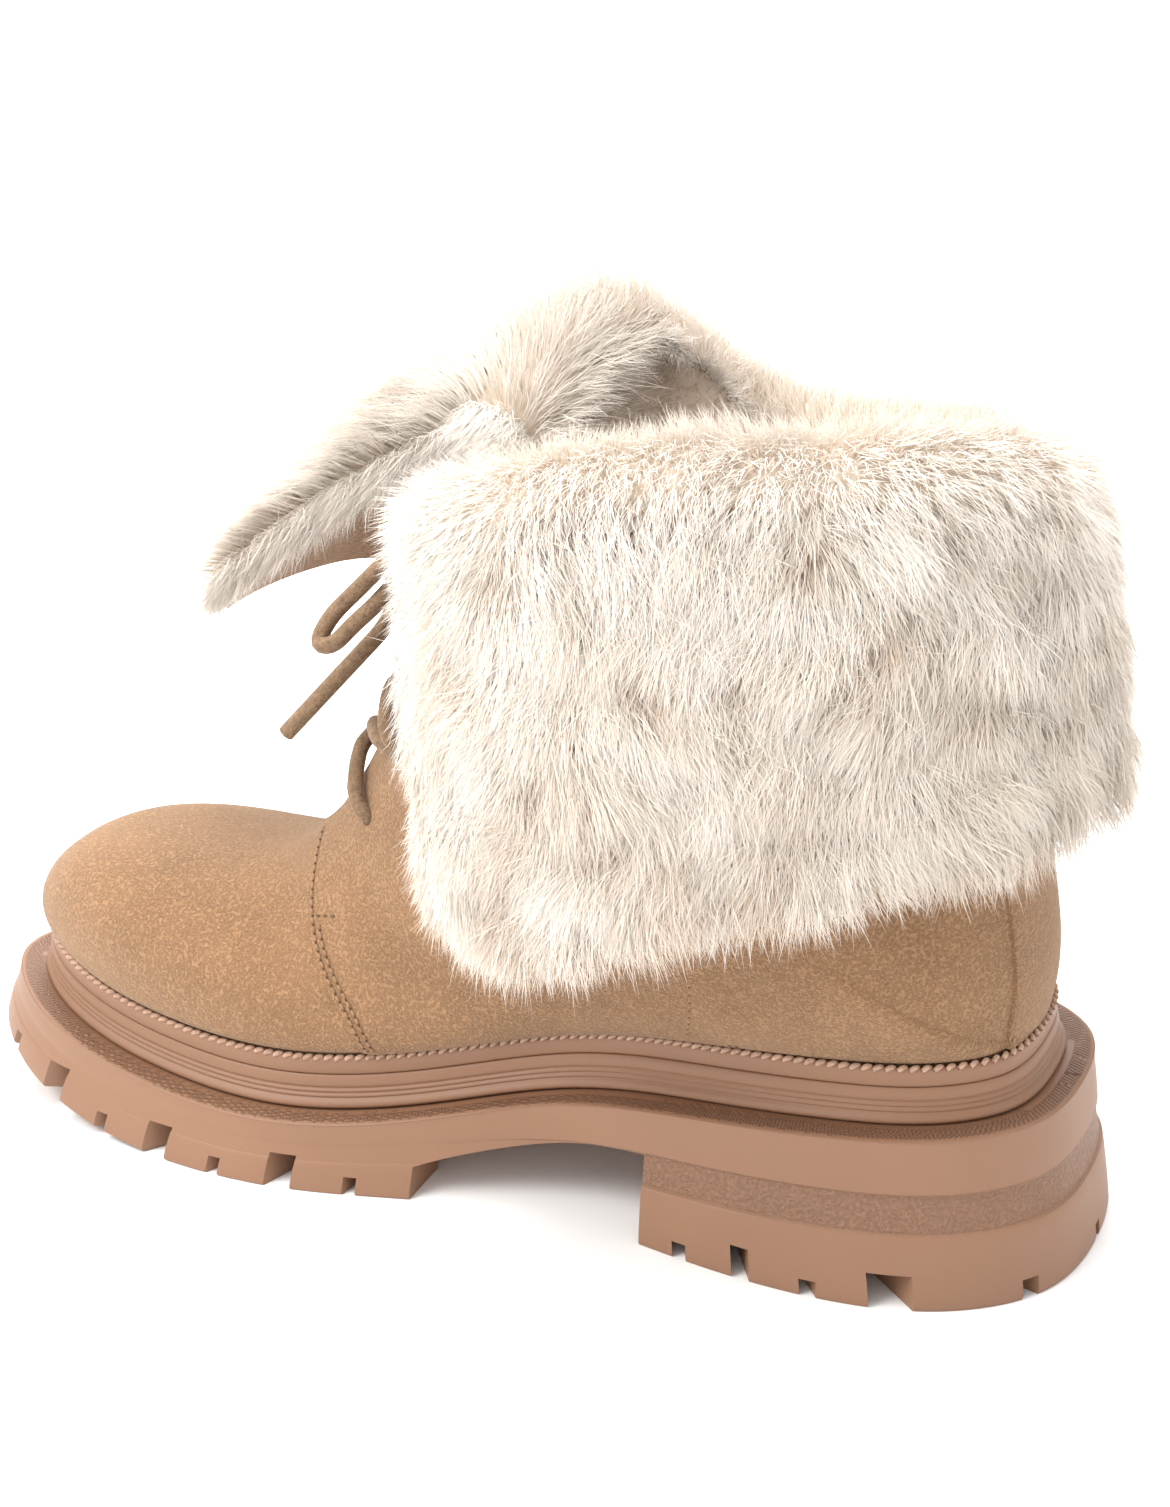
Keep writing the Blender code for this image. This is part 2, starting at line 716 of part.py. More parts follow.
def share_at_offset(row, side, offset):
    """The share down a section at which it is a given distance from the boot's middle plane."""
    shares = np.linspace(0, 0.5, 400)
    across = np.abs(upper_surface(row, side, shares)[:, 1])
    return float(np.interp(offset, across, shares))


def surface_frame(row, side, share):
    """A point of the upper's outer face and the unit vector that stands out from it."""
    step = 0.02
    here = upper_surface(row, side, [share])[0]
    down = upper_surface(row, side, [min(share + step, 1)])[0] - upper_surface(row, side, [share - step])[0]
    low, high = max(row - step, 0), min(row + step, LAST_ROW)
    along = upper_surface(high, side, [share])[0] - upper_surface(low, side, [share])[0]
    out = unit(np.cross(down, along)) * side
    return here, out


def rim_line(x):
    """Height of the shaft's rim, which is straight in side view."""
    front = SECTIONS[LAST_ROW][0] * SOLE_LENGTH, SECTIONS[LAST_ROW][2] * RIM_HEIGHT
    back = float(back_seam([1.0])[0, 0]), RIM_HEIGHT
    return back[1] + (front[1] - back[1]) * (x - back[0]) / (front[0] - back[0])


def upper_rows():
    """Section numbers from toe to rim, with the heel's own row kept."""
    front = np.linspace(0, HEEL_ROW, SECTION_ROWS - 7)
    back = np.linspace(HEEL_ROW, LAST_ROW, 8)[1:]
    return np.concatenate([front, back])


def upper_skin():
    """The upper's outer face as an open bmesh, with its foot going straight down behind the rand."""
    drop = np.array((0, 0, RAND_HEIGHT - FIT_GAP))
    shape = bmesh.new()
    rows = upper_rows()
    for side in (1, -1):
        grid = [section_line(row, side, HALF_SECTION) for row in rows]
        verts = skin_grid(shape, grid)
        edge = [line[-1] for line, row in zip(verts, rows) if row <= HEEL_ROW]
        lower = [shape.verts.new(np.array(vert.co) - drop) for vert in edge]
        bridge(shape, edge, lower)
    weld(shape)
    return shape


def slit_cutter(name, foot_height, gap, frame):
    """The opening down the front of the shaft, round at its foot."""
    arc = [math.pi * (1 + k / 8) for k in range(9)]
    outline = [(gap * math.cos(a), foot_height + gap + gap * math.sin(a)) for a in arc]
    outline += [(gap, RIM_HEIGHT * 1.2), (-gap, RIM_HEIGHT * 1.2)]
    return add_cutter(name, prism(outline, SOLE_LENGTH * 0.40, SOLE_LENGTH * 0.80, 0), frame)


EYELET_OFFSET = THROAT_HALF_GAP + EYELET_FROM_EDGE


def eyelet_rows():
    """Section numbers at which the eyelets sit, evenly spaced up the throat."""
    rows = np.linspace(7, LAST_ROW, 200)
    heights = [surface_frame(row, 1, share_at_offset(row, 1, EYELET_OFFSET))[0][2] for row in rows]
    return np.interp(np.linspace(EYELET_LOWEST, EYELET_HIGHEST, EYELET_PAIRS), heights, rows)


def eyelet_cutter(frame):
    shape = bmesh.new()
    for row in eyelet_rows():
        for side in (1, -1):
            here, out = surface_frame(row, side, share_at_offset(row, side, EYELET_OFFSET))
            across = unit(np.cross(out, (0.0, 0.3, 1.0)))
            up = np.cross(out, across)
            ends = []
            for depth in (-0.006, 0.006):
                angles = [math.tau * k / 10 for k in range(10)]
                circle = [across * math.cos(a) + up * math.sin(a) for a in angles]
                ends.append([shape.verts.new(here + out * depth + EYELET_RADIUS * c) for c in circle])
            shape.faces.new(ends[0])
            shape.faces.new(list(reversed(ends[1])))
            bridge(shape, ends[0] + ends[0][:1], ends[1] + ends[1][:1])
    return add_cutter("eyelet_cutter", shape, frame)


def quarter_outline():
    """Side view of the region that the quarters cover, behind their front edge."""
    read = natural_spline([row[1] for row in QUARTER_EDGE], [[row[0]] for row in QUARTER_EDGE])
    heights = np.linspace(QUARTER_EDGE[0][1], QUARTER_EDGE[-1][1], 12)
    edge = [(float(read(h)[0, 0]) * SOLE_LENGTH, h * RIM_HEIGHT) for h in heights]
    foot_x = np.linspace(-BACKSTAY_WIDTH / 2, edge[0][0], 14)
    foot = [(x, float(seat_height(max(x, 0))[0]) + FIT_GAP) for x in foot_x]
    edge = [point for point in edge if point[1] > foot[-1][1]]
    ends = [(x, rim_line(x) - FIT_GAP) for x in (edge[-1][0], -BACKSTAY_WIDTH / 2)]
    return foot + edge + ends


def build_upper(frame):
    shell = thickened(upper_skin(), 0.0, -UPPER_WALL)
    upper = add_piece("upper", shell, SUEDE, frame)

    form = thickened(upper_skin(), QUARTER_STEP, -UPPER_WALL / 2)
    quarters = add_cutter("quarter_form", form, frame)
    region = add_cutter("quarter_region", prism(quarter_outline(), -BALL_WIDTH, BALL_WIDTH, 1), frame)
    boolean(quarters, region, "INTERSECT")
    boolean(quarters, slit_cutter("quarter_slit", THROAT_HEIGHT, THROAT_HALF_GAP, frame), "DIFFERENCE")

    form = thickened(upper_skin(), QUARTER_STEP + BACKSTAY_STEP, -UPPER_WALL / 3)
    stay = add_cutter("backstay_form", form, frame)
    half = BACKSTAY_WIDTH / 2
    foot = float(seat_height(BACKSTAY_WIDTH / 2)[0]) + 2 * FIT_GAP
    high = rim_line(HEEL_CENTRE) - 2 * FIT_GAP
    strip = [(-half, foot), (half, foot), (half * 0.8, high), (-half * 0.8, high)]
    reach = prism(strip, -BACKSTAY_WIDTH / 2, HEEL_CENTRE, 0)
    boolean(stay, add_cutter("backstay_region", reach, frame), "INTERSECT")

    boolean(upper, quarters, "UNION")
    boolean(upper, stay, "UNION")
    slit = slit_cutter("throat_slit", VAMP_TOP_HEIGHT, THROAT_HALF_GAP + FIT_GAP, frame)
    boolean(upper, slit, "DIFFERENCE")
    boolean(upper, eyelet_cutter(frame), "DIFFERENCE")


def build_tongue(frame):
    """The tongue lies under the throat, from inside the vamp to just below the cuff."""
    rows = np.linspace(8.3, 18.3, 10)
    shape = bmesh.new()
    grid = []
    for row in rows:
        line = []
        for side, steps in ((1, (1.0, 0.6, 0.2)), (-1, (0.2, 0.6, 1.0))):
            for step in steps:
                share = share_at_offset(row, side, step * TONGUE_HALF_WIDTH)
                here, out = surface_frame(row, side, share)
                line.append(here - out * (UPPER_WALL + SEAM_GAP * 2.8))
        grid.append(line)
    skin_grid(shape, grid)
    bmesh.ops.recalc_face_normals(shape, faces=shape.faces)
    shape.normal_update()
    forward = sum((face.normal.x for face in shape.faces))
    if forward < 0:
        bmesh.ops.reverse_faces(shape, faces=shape.faces)
    add_piece("tongue", thickened(shape, 0.0, -TONGUE_THICKNESS), SUEDE, frame)


# The lace
def lace_height(across):
    """How far the middle of the lace lies outside the upper: on the quarters, and over the tongue."""
    on_quarter = QUARTER_STEP + FIT_GAP * 2 + LACE_DIAMETER / 2
    share = min(abs(across) / (THROAT_HALF_GAP - LACE_DIAMETER / 2), 1.0)
    return on_quarter * (0.35 + 0.65 * share * share * (3 - 2 * share))


def lace_point(row, across):
    """A point on the lace's route, at a section and a distance from the boot's middle plane."""
    side = 1 if across >= 0 else -1
    here, out = surface_frame(row, side, share_at_offset(row, side, abs(across)))
    return here + out * lace_height(across)


def lace_stretch(start_row, start_across, end_row, end_across):
    return [
        lace_point(start_row + (end_row - start_row) * t, start_across + (end_across - start_across) * t)
        for t in np.linspace(0, 1, LACE_STEPS + 1)
    ]


def tube(points, radius, sides):
    """A closed round tube along a list of points."""
    points = np.array(points)
    heading = unit(np.gradient(points, axis=0))
    shape = bmesh.new()
    rings = []
    side = unit(np.cross(heading[0], (0.3, 0.2, 1.0)))
    for point, ahead in zip(points, heading):
        side = unit(side - ahead * np.dot(side, ahead))
        up = np.cross(ahead, side)
        angles = [math.tau * k / sides for k in range(sides)]
        circle = [point + radius * (side * math.cos(a) + up * math.sin(a)) for a in angles]
        rings.append([shape.verts.new(spot) for spot in circle])
    for first, second in zip(rings, rings[1:]):
        bridge(shape, first + first[:1], second + second[:1])
    shape.faces.new(rings[0])
    shape.faces.new(list(reversed(rings[-1])))
    return shape


def knot_place():
    here, out = surface_frame(KNOT_ROW, 1, 0.0005)
    out = unit(np.array((out[0], 0.0, out[2])))
    height = lace_height(0) + LACE_DIAMETER * 0.4 + KNOT_SIZE[0] / 2
    return here * (1, 0, 1) + out * height, out


def beside_knot(direction):
    """The point just clear of the knot's surface in a direction from its middle."""
    place, out = knot_place()
    direction = unit(np.array(direction))
    up = np.cross(out, (0.0, 1.0, 0.0))
    axes = np.array([np.dot(direction, out), direction[1], np.dot(direction, up)])
    reach = 1 / np.linalg.norm(axes / (np.array(KNOT_SIZE) / 2))
    return place + direction * (reach + 2 * FIT_GAP)


def build_crossings(frame):
    """The lace from eyelet to eyelet: two stretches cross between each two pairs of eyelets."""
    rows = list(eyelet_rows())
    radius = LACE_DIAMETER / 2
    stretches = []
    for low, high in zip(rows, rows[1:]):
        for side in (1, -1):
            stretches.append(lace_stretch(low, side * EYELET_OFFSET, high, -side * EYELET_OFFSET))
    for side in (1, -1):
        stretches.append(lace_stretch(rows[-1], side * EYELET_OFFSET, KNOT_ROW, side * radius))
    whole = add_piece("lace_crossings", tube(stretches[0], radius, LACE_SIDES), LACE, frame)
    for k, points in enumerate(stretches[1:]):
        shape = tube(points, radius * (1 - 0.01 * k), LACE_SIDES)
        stretch = add_cutter(f"lace_stretch_{k + 2}", shape, frame)
        boolean(whole, stretch, "UNION", "MANIFOLD")


def build_knot(frame):
    place, out = knot_place()
    shape = bmesh.new()
    bmesh.ops.create_icosphere(shape, subdivisions=2, radius=0.5)
    across = np.array((0.0, 1.0, 0.0))
    up = np.cross(out, across)
    for vert in shape.verts:
        spot = np.array(vert.co) * KNOT_SIZE
        vert.co = place + out * spot[0] + across * spot[1] + up * spot[2]
    add_piece("bow_knot", shape, LACE, frame)


# The bow's loops and ends: forward, across (away from the boot's middle plane) and upward from the
# knot's middle. Where a cord meets the knot, its row only says in which direction.
INNER_LOOP = [
    (0.0010, 0.0060, 0.0010),
    (0.0040, 0.0110, -0.0014),
    (0.0093, 0.0137, -0.0068),
    (0.0151, 0.0162, -0.0128),
    (0.0192, 0.0185, -0.0180),
    (0.0196, 0.0212, -0.0218),
    (0.0166, 0.0218, -0.0215),
    (0.0132, 0.0198, -0.0185),
    (0.0088, 0.0150, -0.0138),
    (0.0040, 0.0045, -0.0055),
]
INNER_END = [
    (0.0058, 0.0026, -0.0006),
    (0.0088, 0.0032, -0.0050),
    (0.0092, 0.0040, -0.0120),
    (0.0098, 0.0052, -0.0191),
    (0.0143, 0.0085, -0.0260),
    (0.0240, 0.0130, -0.0370),
    (0.0340, 0.0155, -0.0480),
]
OUTER_LOOP = [
    (0.0010, 0.0060, 0.0010),
    (0.0020, 0.0115, 0.0005),
    (0.0030, 0.0180, -0.0040),
    (0.0035, 0.0235, -0.0120),
    (0.0050, 0.0257, -0.0200),
    (0.0080, 0.0242, -0.0245),
    (0.0096, 0.0202, -0.0205),
    (0.0066, 0.0142, -0.0125),
    (0.0026, 0.0052, -0.0058),
]
OUTER_END = [
    (0.0058, 0.0030, -0.0016),
    (0.0106, 0.0042, -0.0078),
    (0.0134, 0.0085, -0.0185),
    (0.0140, 0.0140, -0.0290),
    (0.0150, 0.0175, -0.0390),
    (0.0155, 0.0195, -0.0450),
]
BOW = (
    (1, "inner", INNER_LOOP, INNER_END),
    (-1, "outer", OUTER_LOOP, OUTER_END),
)


def build_cord(name, table, ends_at_knot, side, frame):
    """A free stretch of the lace, as a round cord along a smooth curve through its table's points."""
    place, _ = knot_place()
    rows = np.array(table) * (1, side, 1)
    route = rows + place
    for k in ends_at_knot:
        route[k] = beside_knot(rows[k])
    steps = np.concatenate([[0], np.cumsum(np.linalg.norm(np.diff(route, axis=0), axis=1))])
    spots = natural_spline(steps, route)(np.linspace(0, steps[-1], 2 * len(table)))
    line = bpy.data.curves.new(name, "CURVE")
    line.dimensions = "3D"
    line.bevel_depth = LACE_DIAMETER / 2
    line.bevel_resolution = 2
    line.use_fill_caps = True
    line.materials.append(material(LACE))
    spline = line.splines.new("POLY")
    spline.points.add(len(spots) - 1)
    for point, spot in zip(spline.points, spots):
        point.co = (*spot, 1.0)
    cord = bpy.data.objects.new(name, line)
    bpy.context.scene.collection.objects.link(cord)
    cord.parent = frame


# The cuff
READ_CUFF = table_reader(CUFF, 0)


def rim_places():
    """Stations of the cuff: side, share down the rim's section, and share of the way round."""
    ease = (1 - np.cos(np.linspace(0, np.pi, 160))) / 2
    first = share_at_offset(LAST_ROW, 1, CUFF_NEAR_START)
    last = share_at_offset(LAST_ROW, -1, CUFF_FAR_START)
    inner = first + (1 - first) * ease
    outer = 1 + (last - 1) * ease
    walk = [(1, share) for share in inner] + [(-1, share) for share in outer[1:]]
    points = np.array([upper_surface(LAST_ROW, side, [share])[0] for side, share in walk])
    run = np.concatenate([[0], np.cumsum(np.linalg.norm(np.diff(points, axis=0), axis=1))])
    even = np.linspace(0, run[-1], CUFF_STATIONS + 1)
    signed = np.array([share if side > 0 else 2 - share for side, share in walk])
    spots = np.interp(even, run, signed)
    return [(1, s, k / CUFF_STATIONS) if s <= 1 else (-1, 2 - s, k / CUFF_STATIONS)
            for k, s in enumerate(spots)]


LINING_ROWS = (18.9, 19.5, 20.0)
FOLD_STEPS = 5
FLAP_STEPS = 7


def cuff_lines():
    """For each station of the cuff, its place and size and a line of points with normals.

    The line follows the face that lies on the shaft: up the inside of the rim, over the fold and
    down the flap. Each point says which of the three it is on, and the share of the way along."""
    places = rim_places()
    rims = np.array([upper_surface(LAST_ROW, side, [share])[0] for side, share, _ in places])
    heading = unit(np.gradient(rims, axis=0))
    outward = np.stack([-heading[:, 1], heading[:, 0], np.zeros(len(rims))], axis=1)
    middle = rims.mean(axis=0)
    outward *= np.sign(((rims - middle) * outward).sum(axis=1))[:, None]
    up = np.array((0.0, 0.0, 1.0))
    lines = []
    for (side, share, around), rim, out, ahead in zip(places, rims, outward, heading):
        turn, lean, tip_lean, sweep, length, lift = READ_CUFF(around)[0]
        turn = math.radians(turn) * side
        out = np.array((out[0] * math.cos(turn) - out[1] * math.sin(turn),
                        out[0] * math.sin(turn) + out[1] * math.cos(turn), 0.0))
        line = []
        for k, row in enumerate(LINING_ROWS):
            here = upper_surface(row, side, [share])[0]
            line.append((here - out * SEAM_GAP * 1.8, -out, "lining", k / (len(LINING_ROWS) - 1)))
        start = rim + up * (FOLD_RISE + lift * RIM_HEIGHT)
        end_angle = math.pi - math.radians(lean)
        for k in range(FOLD_STEPS):
            angle = end_angle * k / (FOLD_STEPS - 1)
            normal = up * math.sin(angle) - out * math.cos(angle)
            here = start + out * FOLD_RADIUS + normal * FOLD_RADIUS
            line.append((here, normal, "fold", k / (FOLD_STEPS - 1)))
        back = -1.0 if around < 0.5 else 1.0
        trail = ahead * -back * math.tan(math.radians(sweep))
        flap = (length * RIM_HEIGHT + FUR_OVERHANG) / FLAP_STEPS
        for k in range(1, FLAP_STEPS + 1):
            angle = math.radians(lean + (tip_lean - lean) * k / FLAP_STEPS)
            step = out * math.sin(angle) - up * math.cos(angle) + trail
            here = here + step * flap
            normal = out * math.cos(angle) + up * math.sin(angle)
            line.append((here, normal, "flap", k / FLAP_STEPS))
        lines.append((around, length * RIM_HEIGHT, rim, line))
    return lines


def fur_depth(kind, share, around, run):
    """Depth of the fur: short inside, deep on the flap, and raised into overlapping locks."""
    if kind == "lining":
        return FUR_LINING * (0.55 + 0.45 * share)
    if kind == "fold":
        return FUR_LINING + (FUR_CREST - FUR_LINING) * math.sin(math.pi * share / 2)
    column = around * CUFF_STATIONS / 2
    stagger = 0.5 * (math.floor(column) % 2)
    phase = (run / LOCK_LENGTH + stagger) % 1.0
    across = math.sin(math.pi * (column % 1.0)) ** 2
    lock = LOCK_DEPTH * (phase - 0.5) * (0.4 + 0.6 * across)
    body = FUR_CREST + (FUR_FLAP - FUR_CREST) * min(share * 3, 1)
    hem = 1 - 0.55 * max((share - 0.82) / 0.18, 0) ** 2
    ends = min(1.0, 0.60 + 6 * min(around, 1 - around))
    return (body + lock) * hem * ends


def between_faces(lines):
    """A closed solid between two faces, each given as rows of points along the cuff."""
    shape = bmesh.new()
    near, far = lines
    near = [[shape.verts.new(point) for point in row] for row in near]
    far = [[shape.verts.new(point) for point in row] for row in far]
    for face in (near, far):
        for first, second in zip(face, face[1:]):
            bridge(shape, first, second)
    for i in (0, -1):
        bridge(shape, near[i], far[i])
        bridge(shape, [row[i] for row in near], [row[i] for row in far])
    weld(shape)
    return shape


def backing_line(line, rim, length):
    """Points and normals of the suede backing on one station: rim, fold and flap down to its hem."""
    fold = [(point, normal) for point, normal, kind, _ in line if kind == "fold"][::2]
    flap = [(point, normal) for point, normal, kind, _ in line if kind == "flap"]
    foot = (np.array((*fold[0][0][:2], rim[2] + FIT_GAP)), fold[0][1])
    runs = np.linspace(0, len(flap) - 1, FLAP_STEPS) * length / (length + FUR_OVERHANG)
    points = natural_spline(range(len(flap)), [np.concatenate(pair) for pair in flap])
    hem = [(row[:3], unit(row[3:])) for row in points(runs[1::2])]
    return [foot] + fold + hem


def build_cuff(frame):
    under, over, inside, outside = [], [], [], []
    for around, length, rim, line in cuff_lines():
        backing = backing_line(line, rim, length)
        under.append([point for point, _ in backing])
        over.append([point + normal * CUFF_BACKING for point, normal in backing])
        clear = UPPER_WALL + FIT_GAP
        run = 0.0
        inner, outer = [], []
        for k, (point, normal, kind, share) in enumerate(line):
            if kind == "flap":
                run += float(np.linalg.norm(point - line[k - 1][0]))
            inner.append(point + normal * clear)
            outer.append(point + normal * (clear + fur_depth(kind, share, around, run)))
        inside.append(inner)
        outside.append(outer)
    add_piece("cuff_backing", between_faces((under, over)), SUEDE, frame)
    add_piece("fur_cuff", between_faces((inside, outside)), FUR, frame)


def main():
    clear_scene()
    frame = bpy.data.objects.new("boot_frame", None)
    bpy.context.scene.collection.objects.link(frame)
    frame.location = (-HEEL_CENTRE, 0.0, 0.0)
    build_outsole(frame)
    build_midsole(frame)
    build_rand(frame)
    build_insole(frame)
    build_upper(frame)
    build_tongue(frame)
    build_crossings(frame)
    build_knot(frame)
    for side, name, loop, end in BOW:
        build_cord(f"bow_loop_{name}", loop, (0, -1), side, frame)
        build_cord(f"lace_end_{name}", end, (0,), side, frame)
    build_cuff(frame)


main()
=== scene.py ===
"""Finished look of a lace-up ankle boot with a turned-down fur cuff, as a Blender add-on.

Lengths are metres. Shapes are worked out in the boot's own frame, where x runs from the back of
the heel towards the toe, y towards the inner side of the foot and z up from the floor. The scene's
origin is on the floor under the middle of the heel, HEEL_CENTRE further forward.
"""

import math

import bmesh
import bpy
import numpy as np
from bpy.props import FloatProperty
from bpy.props import FloatVectorProperty
from bpy.props import IntProperty
from bpy.props import PointerProperty
from mathutils import Matrix
from mathutils import Vector
from mathutils.bvhtree import BVHTree


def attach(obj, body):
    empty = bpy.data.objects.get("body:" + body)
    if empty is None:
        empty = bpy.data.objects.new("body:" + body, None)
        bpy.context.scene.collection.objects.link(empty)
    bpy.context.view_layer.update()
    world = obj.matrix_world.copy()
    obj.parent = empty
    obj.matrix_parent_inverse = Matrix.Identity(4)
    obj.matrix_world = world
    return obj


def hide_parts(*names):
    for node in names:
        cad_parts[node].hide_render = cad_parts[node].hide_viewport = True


bl_info = {
    "name": "Fur cuff boot",
    "version": (1, 0, 0),
    "blender": (4, 5, 0),
    "location": "View3D > Sidebar > Boot",
    "description": "Builds the suede, sole, lace and fur of a cuffed ankle boot on its solid model",
    "category": "Add Mesh",
}

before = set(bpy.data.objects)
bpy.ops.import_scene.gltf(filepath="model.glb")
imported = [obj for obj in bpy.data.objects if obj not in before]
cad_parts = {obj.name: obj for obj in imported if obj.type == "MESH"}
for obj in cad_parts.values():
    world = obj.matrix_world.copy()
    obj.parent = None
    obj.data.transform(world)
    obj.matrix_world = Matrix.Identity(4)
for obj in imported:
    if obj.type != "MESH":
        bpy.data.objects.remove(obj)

# Sole
SOLE_LENGTH = 0.278
BALL_WIDTH = 0.096
HEEL_RISE = 0.054
HEEL_CENTRE = 0.045
HEEL_BREAST = 0.0913
TREAD_REAR = 0.149
TOE_SPRING = 0.0143
SPRING_START = 0.203
WALL_FLARE = 0.0048
LEDGE_WIDTH = 0.0056
RAND_HEIGHT = 0.0044
MIDSOLE_HEIGHT = 0.0082
RAND_INSET = 0.0091
RAND_THICKNESS = 0.0018
HEEL_BAND_RECESS = 0.0007
LUG_PITCH = 0.0170
SMALL_NOTCH = (0.0030, 0.0044)
BIG_NOTCH = (0.0062, 0.0080)
CHANNEL_INSET = 0.0102
CHANNEL_WIDTH = 0.0040
CHANNEL_DEPTH = 0.0050
BAR_WIDTH = 0.0042
BAR_DEPTH = 0.0043
FIRST_LUG_SHARE = 0.82
BELOW_FLOOR = -0.01
GRAIN_BAND = (0.325, 0.556)
HATCH_BAND = (0.0011, 0.0050)
HATCH_PERIOD = 0.00125

# Notches round the heel: distance behind the breast, width, depth
HEEL_NOTCHES = (
    (0.0083, 0.0030, 0.0042),
    (0.0234, 0.0036, 0.0080),
    (0.0389, 0.0032, 0.0042),
    (0.0569, 0.0080, 0.0086),
    (0.0836, 0.0040, 0.0050),
)

# Upper
RIM_HEIGHT = 0.168
UPPER_WALL = 0.0018
QUARTER_STEP = 0.0010
BACKSTAY_STEP = 0.0009
BACKSTAY_WIDTH = 0.034
THROAT_HALF_GAP = 0.0105
THROAT_HEIGHT = 0.076
VAMP_TOP_HEIGHT = 0.090
TONGUE_THICKNESS = 0.0030
TONGUE_HALF_WIDTH = 0.019
FIT_GAP = 0.0003
SEAM_GAP = 0.0009
WELD = 0.000001
BEHIND_HEEL = -0.02
QUARTER_FOOT_GAP = 0.0009
TONGUE_ROWS = (8.3, 18.3)
FEATHER_INSET = RAND_INSET + RAND_THICKNESS + SEAM_GAP

# Lace
LACE_DIAMETER = 0.0040
KNOT_SIZE = (0.0090, 0.0115, 0.0090)
KNOT_ROW = 15.2
EYELET_RADIUS = 0.0022
EYELET_PAIRS = 4
EYELET_LOWEST = 0.0865
EYELET_HIGHEST = 0.140
EYELET_OFFSET = THROAT_HALF_GAP + 0.0085

# Cuff
CUFF_BACKING = 0.0011
FOLD_RADIUS = 0.0040
FOLD_RISE = 0.0010
FUR_FLAP = 0.0140
FUR_CREST = 0.0090
FUR_LINING = 0.0065
FUR_OVERHANG = 0.0075
CUFF_NEAR_START = 0.028
CUFF_FAR_START = 0.0135
FLEECE_TOP_ROW = 18.9
EAR_START = 0.84
EAR_BLEND = 0.10
FRINGE_SHARE = 0.13

# Plan of the ledge, as shares of SOLE_LENGTH and BALL_WIDTH
PLAN = [
    (0.000, 0.000),
    (0.016, 0.234),
    (0.072, 0.377),
    (0.162, 0.434),
    (0.288, 0.401),
    (0.414, 0.344),
    (0.540, 0.401),
    (0.665, 0.474),
    (0.791, 0.451),
    (0.899, 0.365),
    (0.969, 0.234),
    (1.000, 0.083),
    (0.986, -0.089),
    (0.928, -0.271),
    (0.845, -0.411),
    (0.737, -0.505),
    (0.612, -0.526),
    (0.504, -0.479),
    (0.396, -0.422),
    (0.288, -0.417),
    (0.162, -0.434),
    (0.072, -0.377),
    (0.016, -0.234),
]
TOE_TIP_ROW = 11

# Height of the rand's top edge along the sole
SEAT = [
    (0.000, 1.000),
    (0.108, 0.981),
    (0.216, 0.935),
    (0.324, 0.852),
    (0.432, 0.731),
    (0.540, 0.593),
    (0.647, 0.528),
    (0.755, 0.537),
    (0.863, 0.602),
    (1.000, 0.760),
]

# Midsole side: share of the height down, share of the room it stands out
MIDSOLE_PROFILE = [
    (0.000, -0.06),
    (0.020, 0.00),
    (0.060, 0.06),
    (0.120, 0.12),
    (0.200, 0.16),
    (0.290, 0.18),
    (0.350, 0.19),
    (0.375, 0.13),
    (0.400, 0.12),
    (0.425, 0.20),
    (0.460, 0.27),
    (0.495, 0.28),
    (0.520, 0.21),
    (0.545, 0.21),
    (0.570, 0.30),
    (0.610, 0.37),
    (0.640, 0.38),
    (0.662, 0.31),
    (0.685, 0.32),
    (0.710, 0.42),
    (0.760, 0.54),
    (0.820, 0.65),
    (0.880, 0.70),
    (0.930, 0.68),
    (0.965, 0.58),
    (1.000, 0.46),
]

# Ledge: how far in from the plan, and how far down
LEDGE_PROFILE = [
    (LEDGE_WIDTH * 1.25, 0.0),
    (0.0050, 0.0),
    (0.0044, 0.0),
    (0.0034, 0.0),
    (0.0024, 0.0),
    (0.0014, 0.0),
    (0.0009, 0.00004),
    (0.0004, 0.00018),
    (0.0001, 0.00042),
]

# Outsole wall: drop towards the floor, flare, recess of the grained heel band
WALL_PROFILE = [
    (0.018, -0.060, 0.0),
    (0.035, -0.045, 0.0),
    (0.060, -0.020, 0.0),
    (0.090, 0.000, 0.0),
    (0.140, 0.060, 0.0),
    (0.200, 0.120, 0.0),
    (0.260, 0.175, 0.0),
    (0.315, 0.220, 0.0),
    (0.322, 0.222, 0.25),
    (0.332, 0.225, 0.85),
    (0.345, 0.235, 1.0),
    (0.400, 0.310, 1.0),
    (0.450, 0.380, 1.0),
    (0.500, 0.450, 1.0),
    (0.545, 0.510, 1.0),
    (0.552, 0.520, 0.85),
    (0.560, 0.545, 0.15),
    (0.568, 0.565, 0.0),
    (0.640, 0.660, 0.0),
    (0.740, 0.780, 0.0),
    (0.840, 0.890, 0.0),
    (0.920, 0.965, 0.0),
    (0.965, 1.000, 0.0),
    (0.988, 0.975, 0.0),
    (1.000, 0.920, 0.0),
]

# Underside of the waist
ARCH = [
    (0.00, 0.148),
    (0.10, 0.185),
    (0.30, 0.250),
    (0.55, 0.322),
    (0.78, 0.372),
    (1.00, 0.398),
]

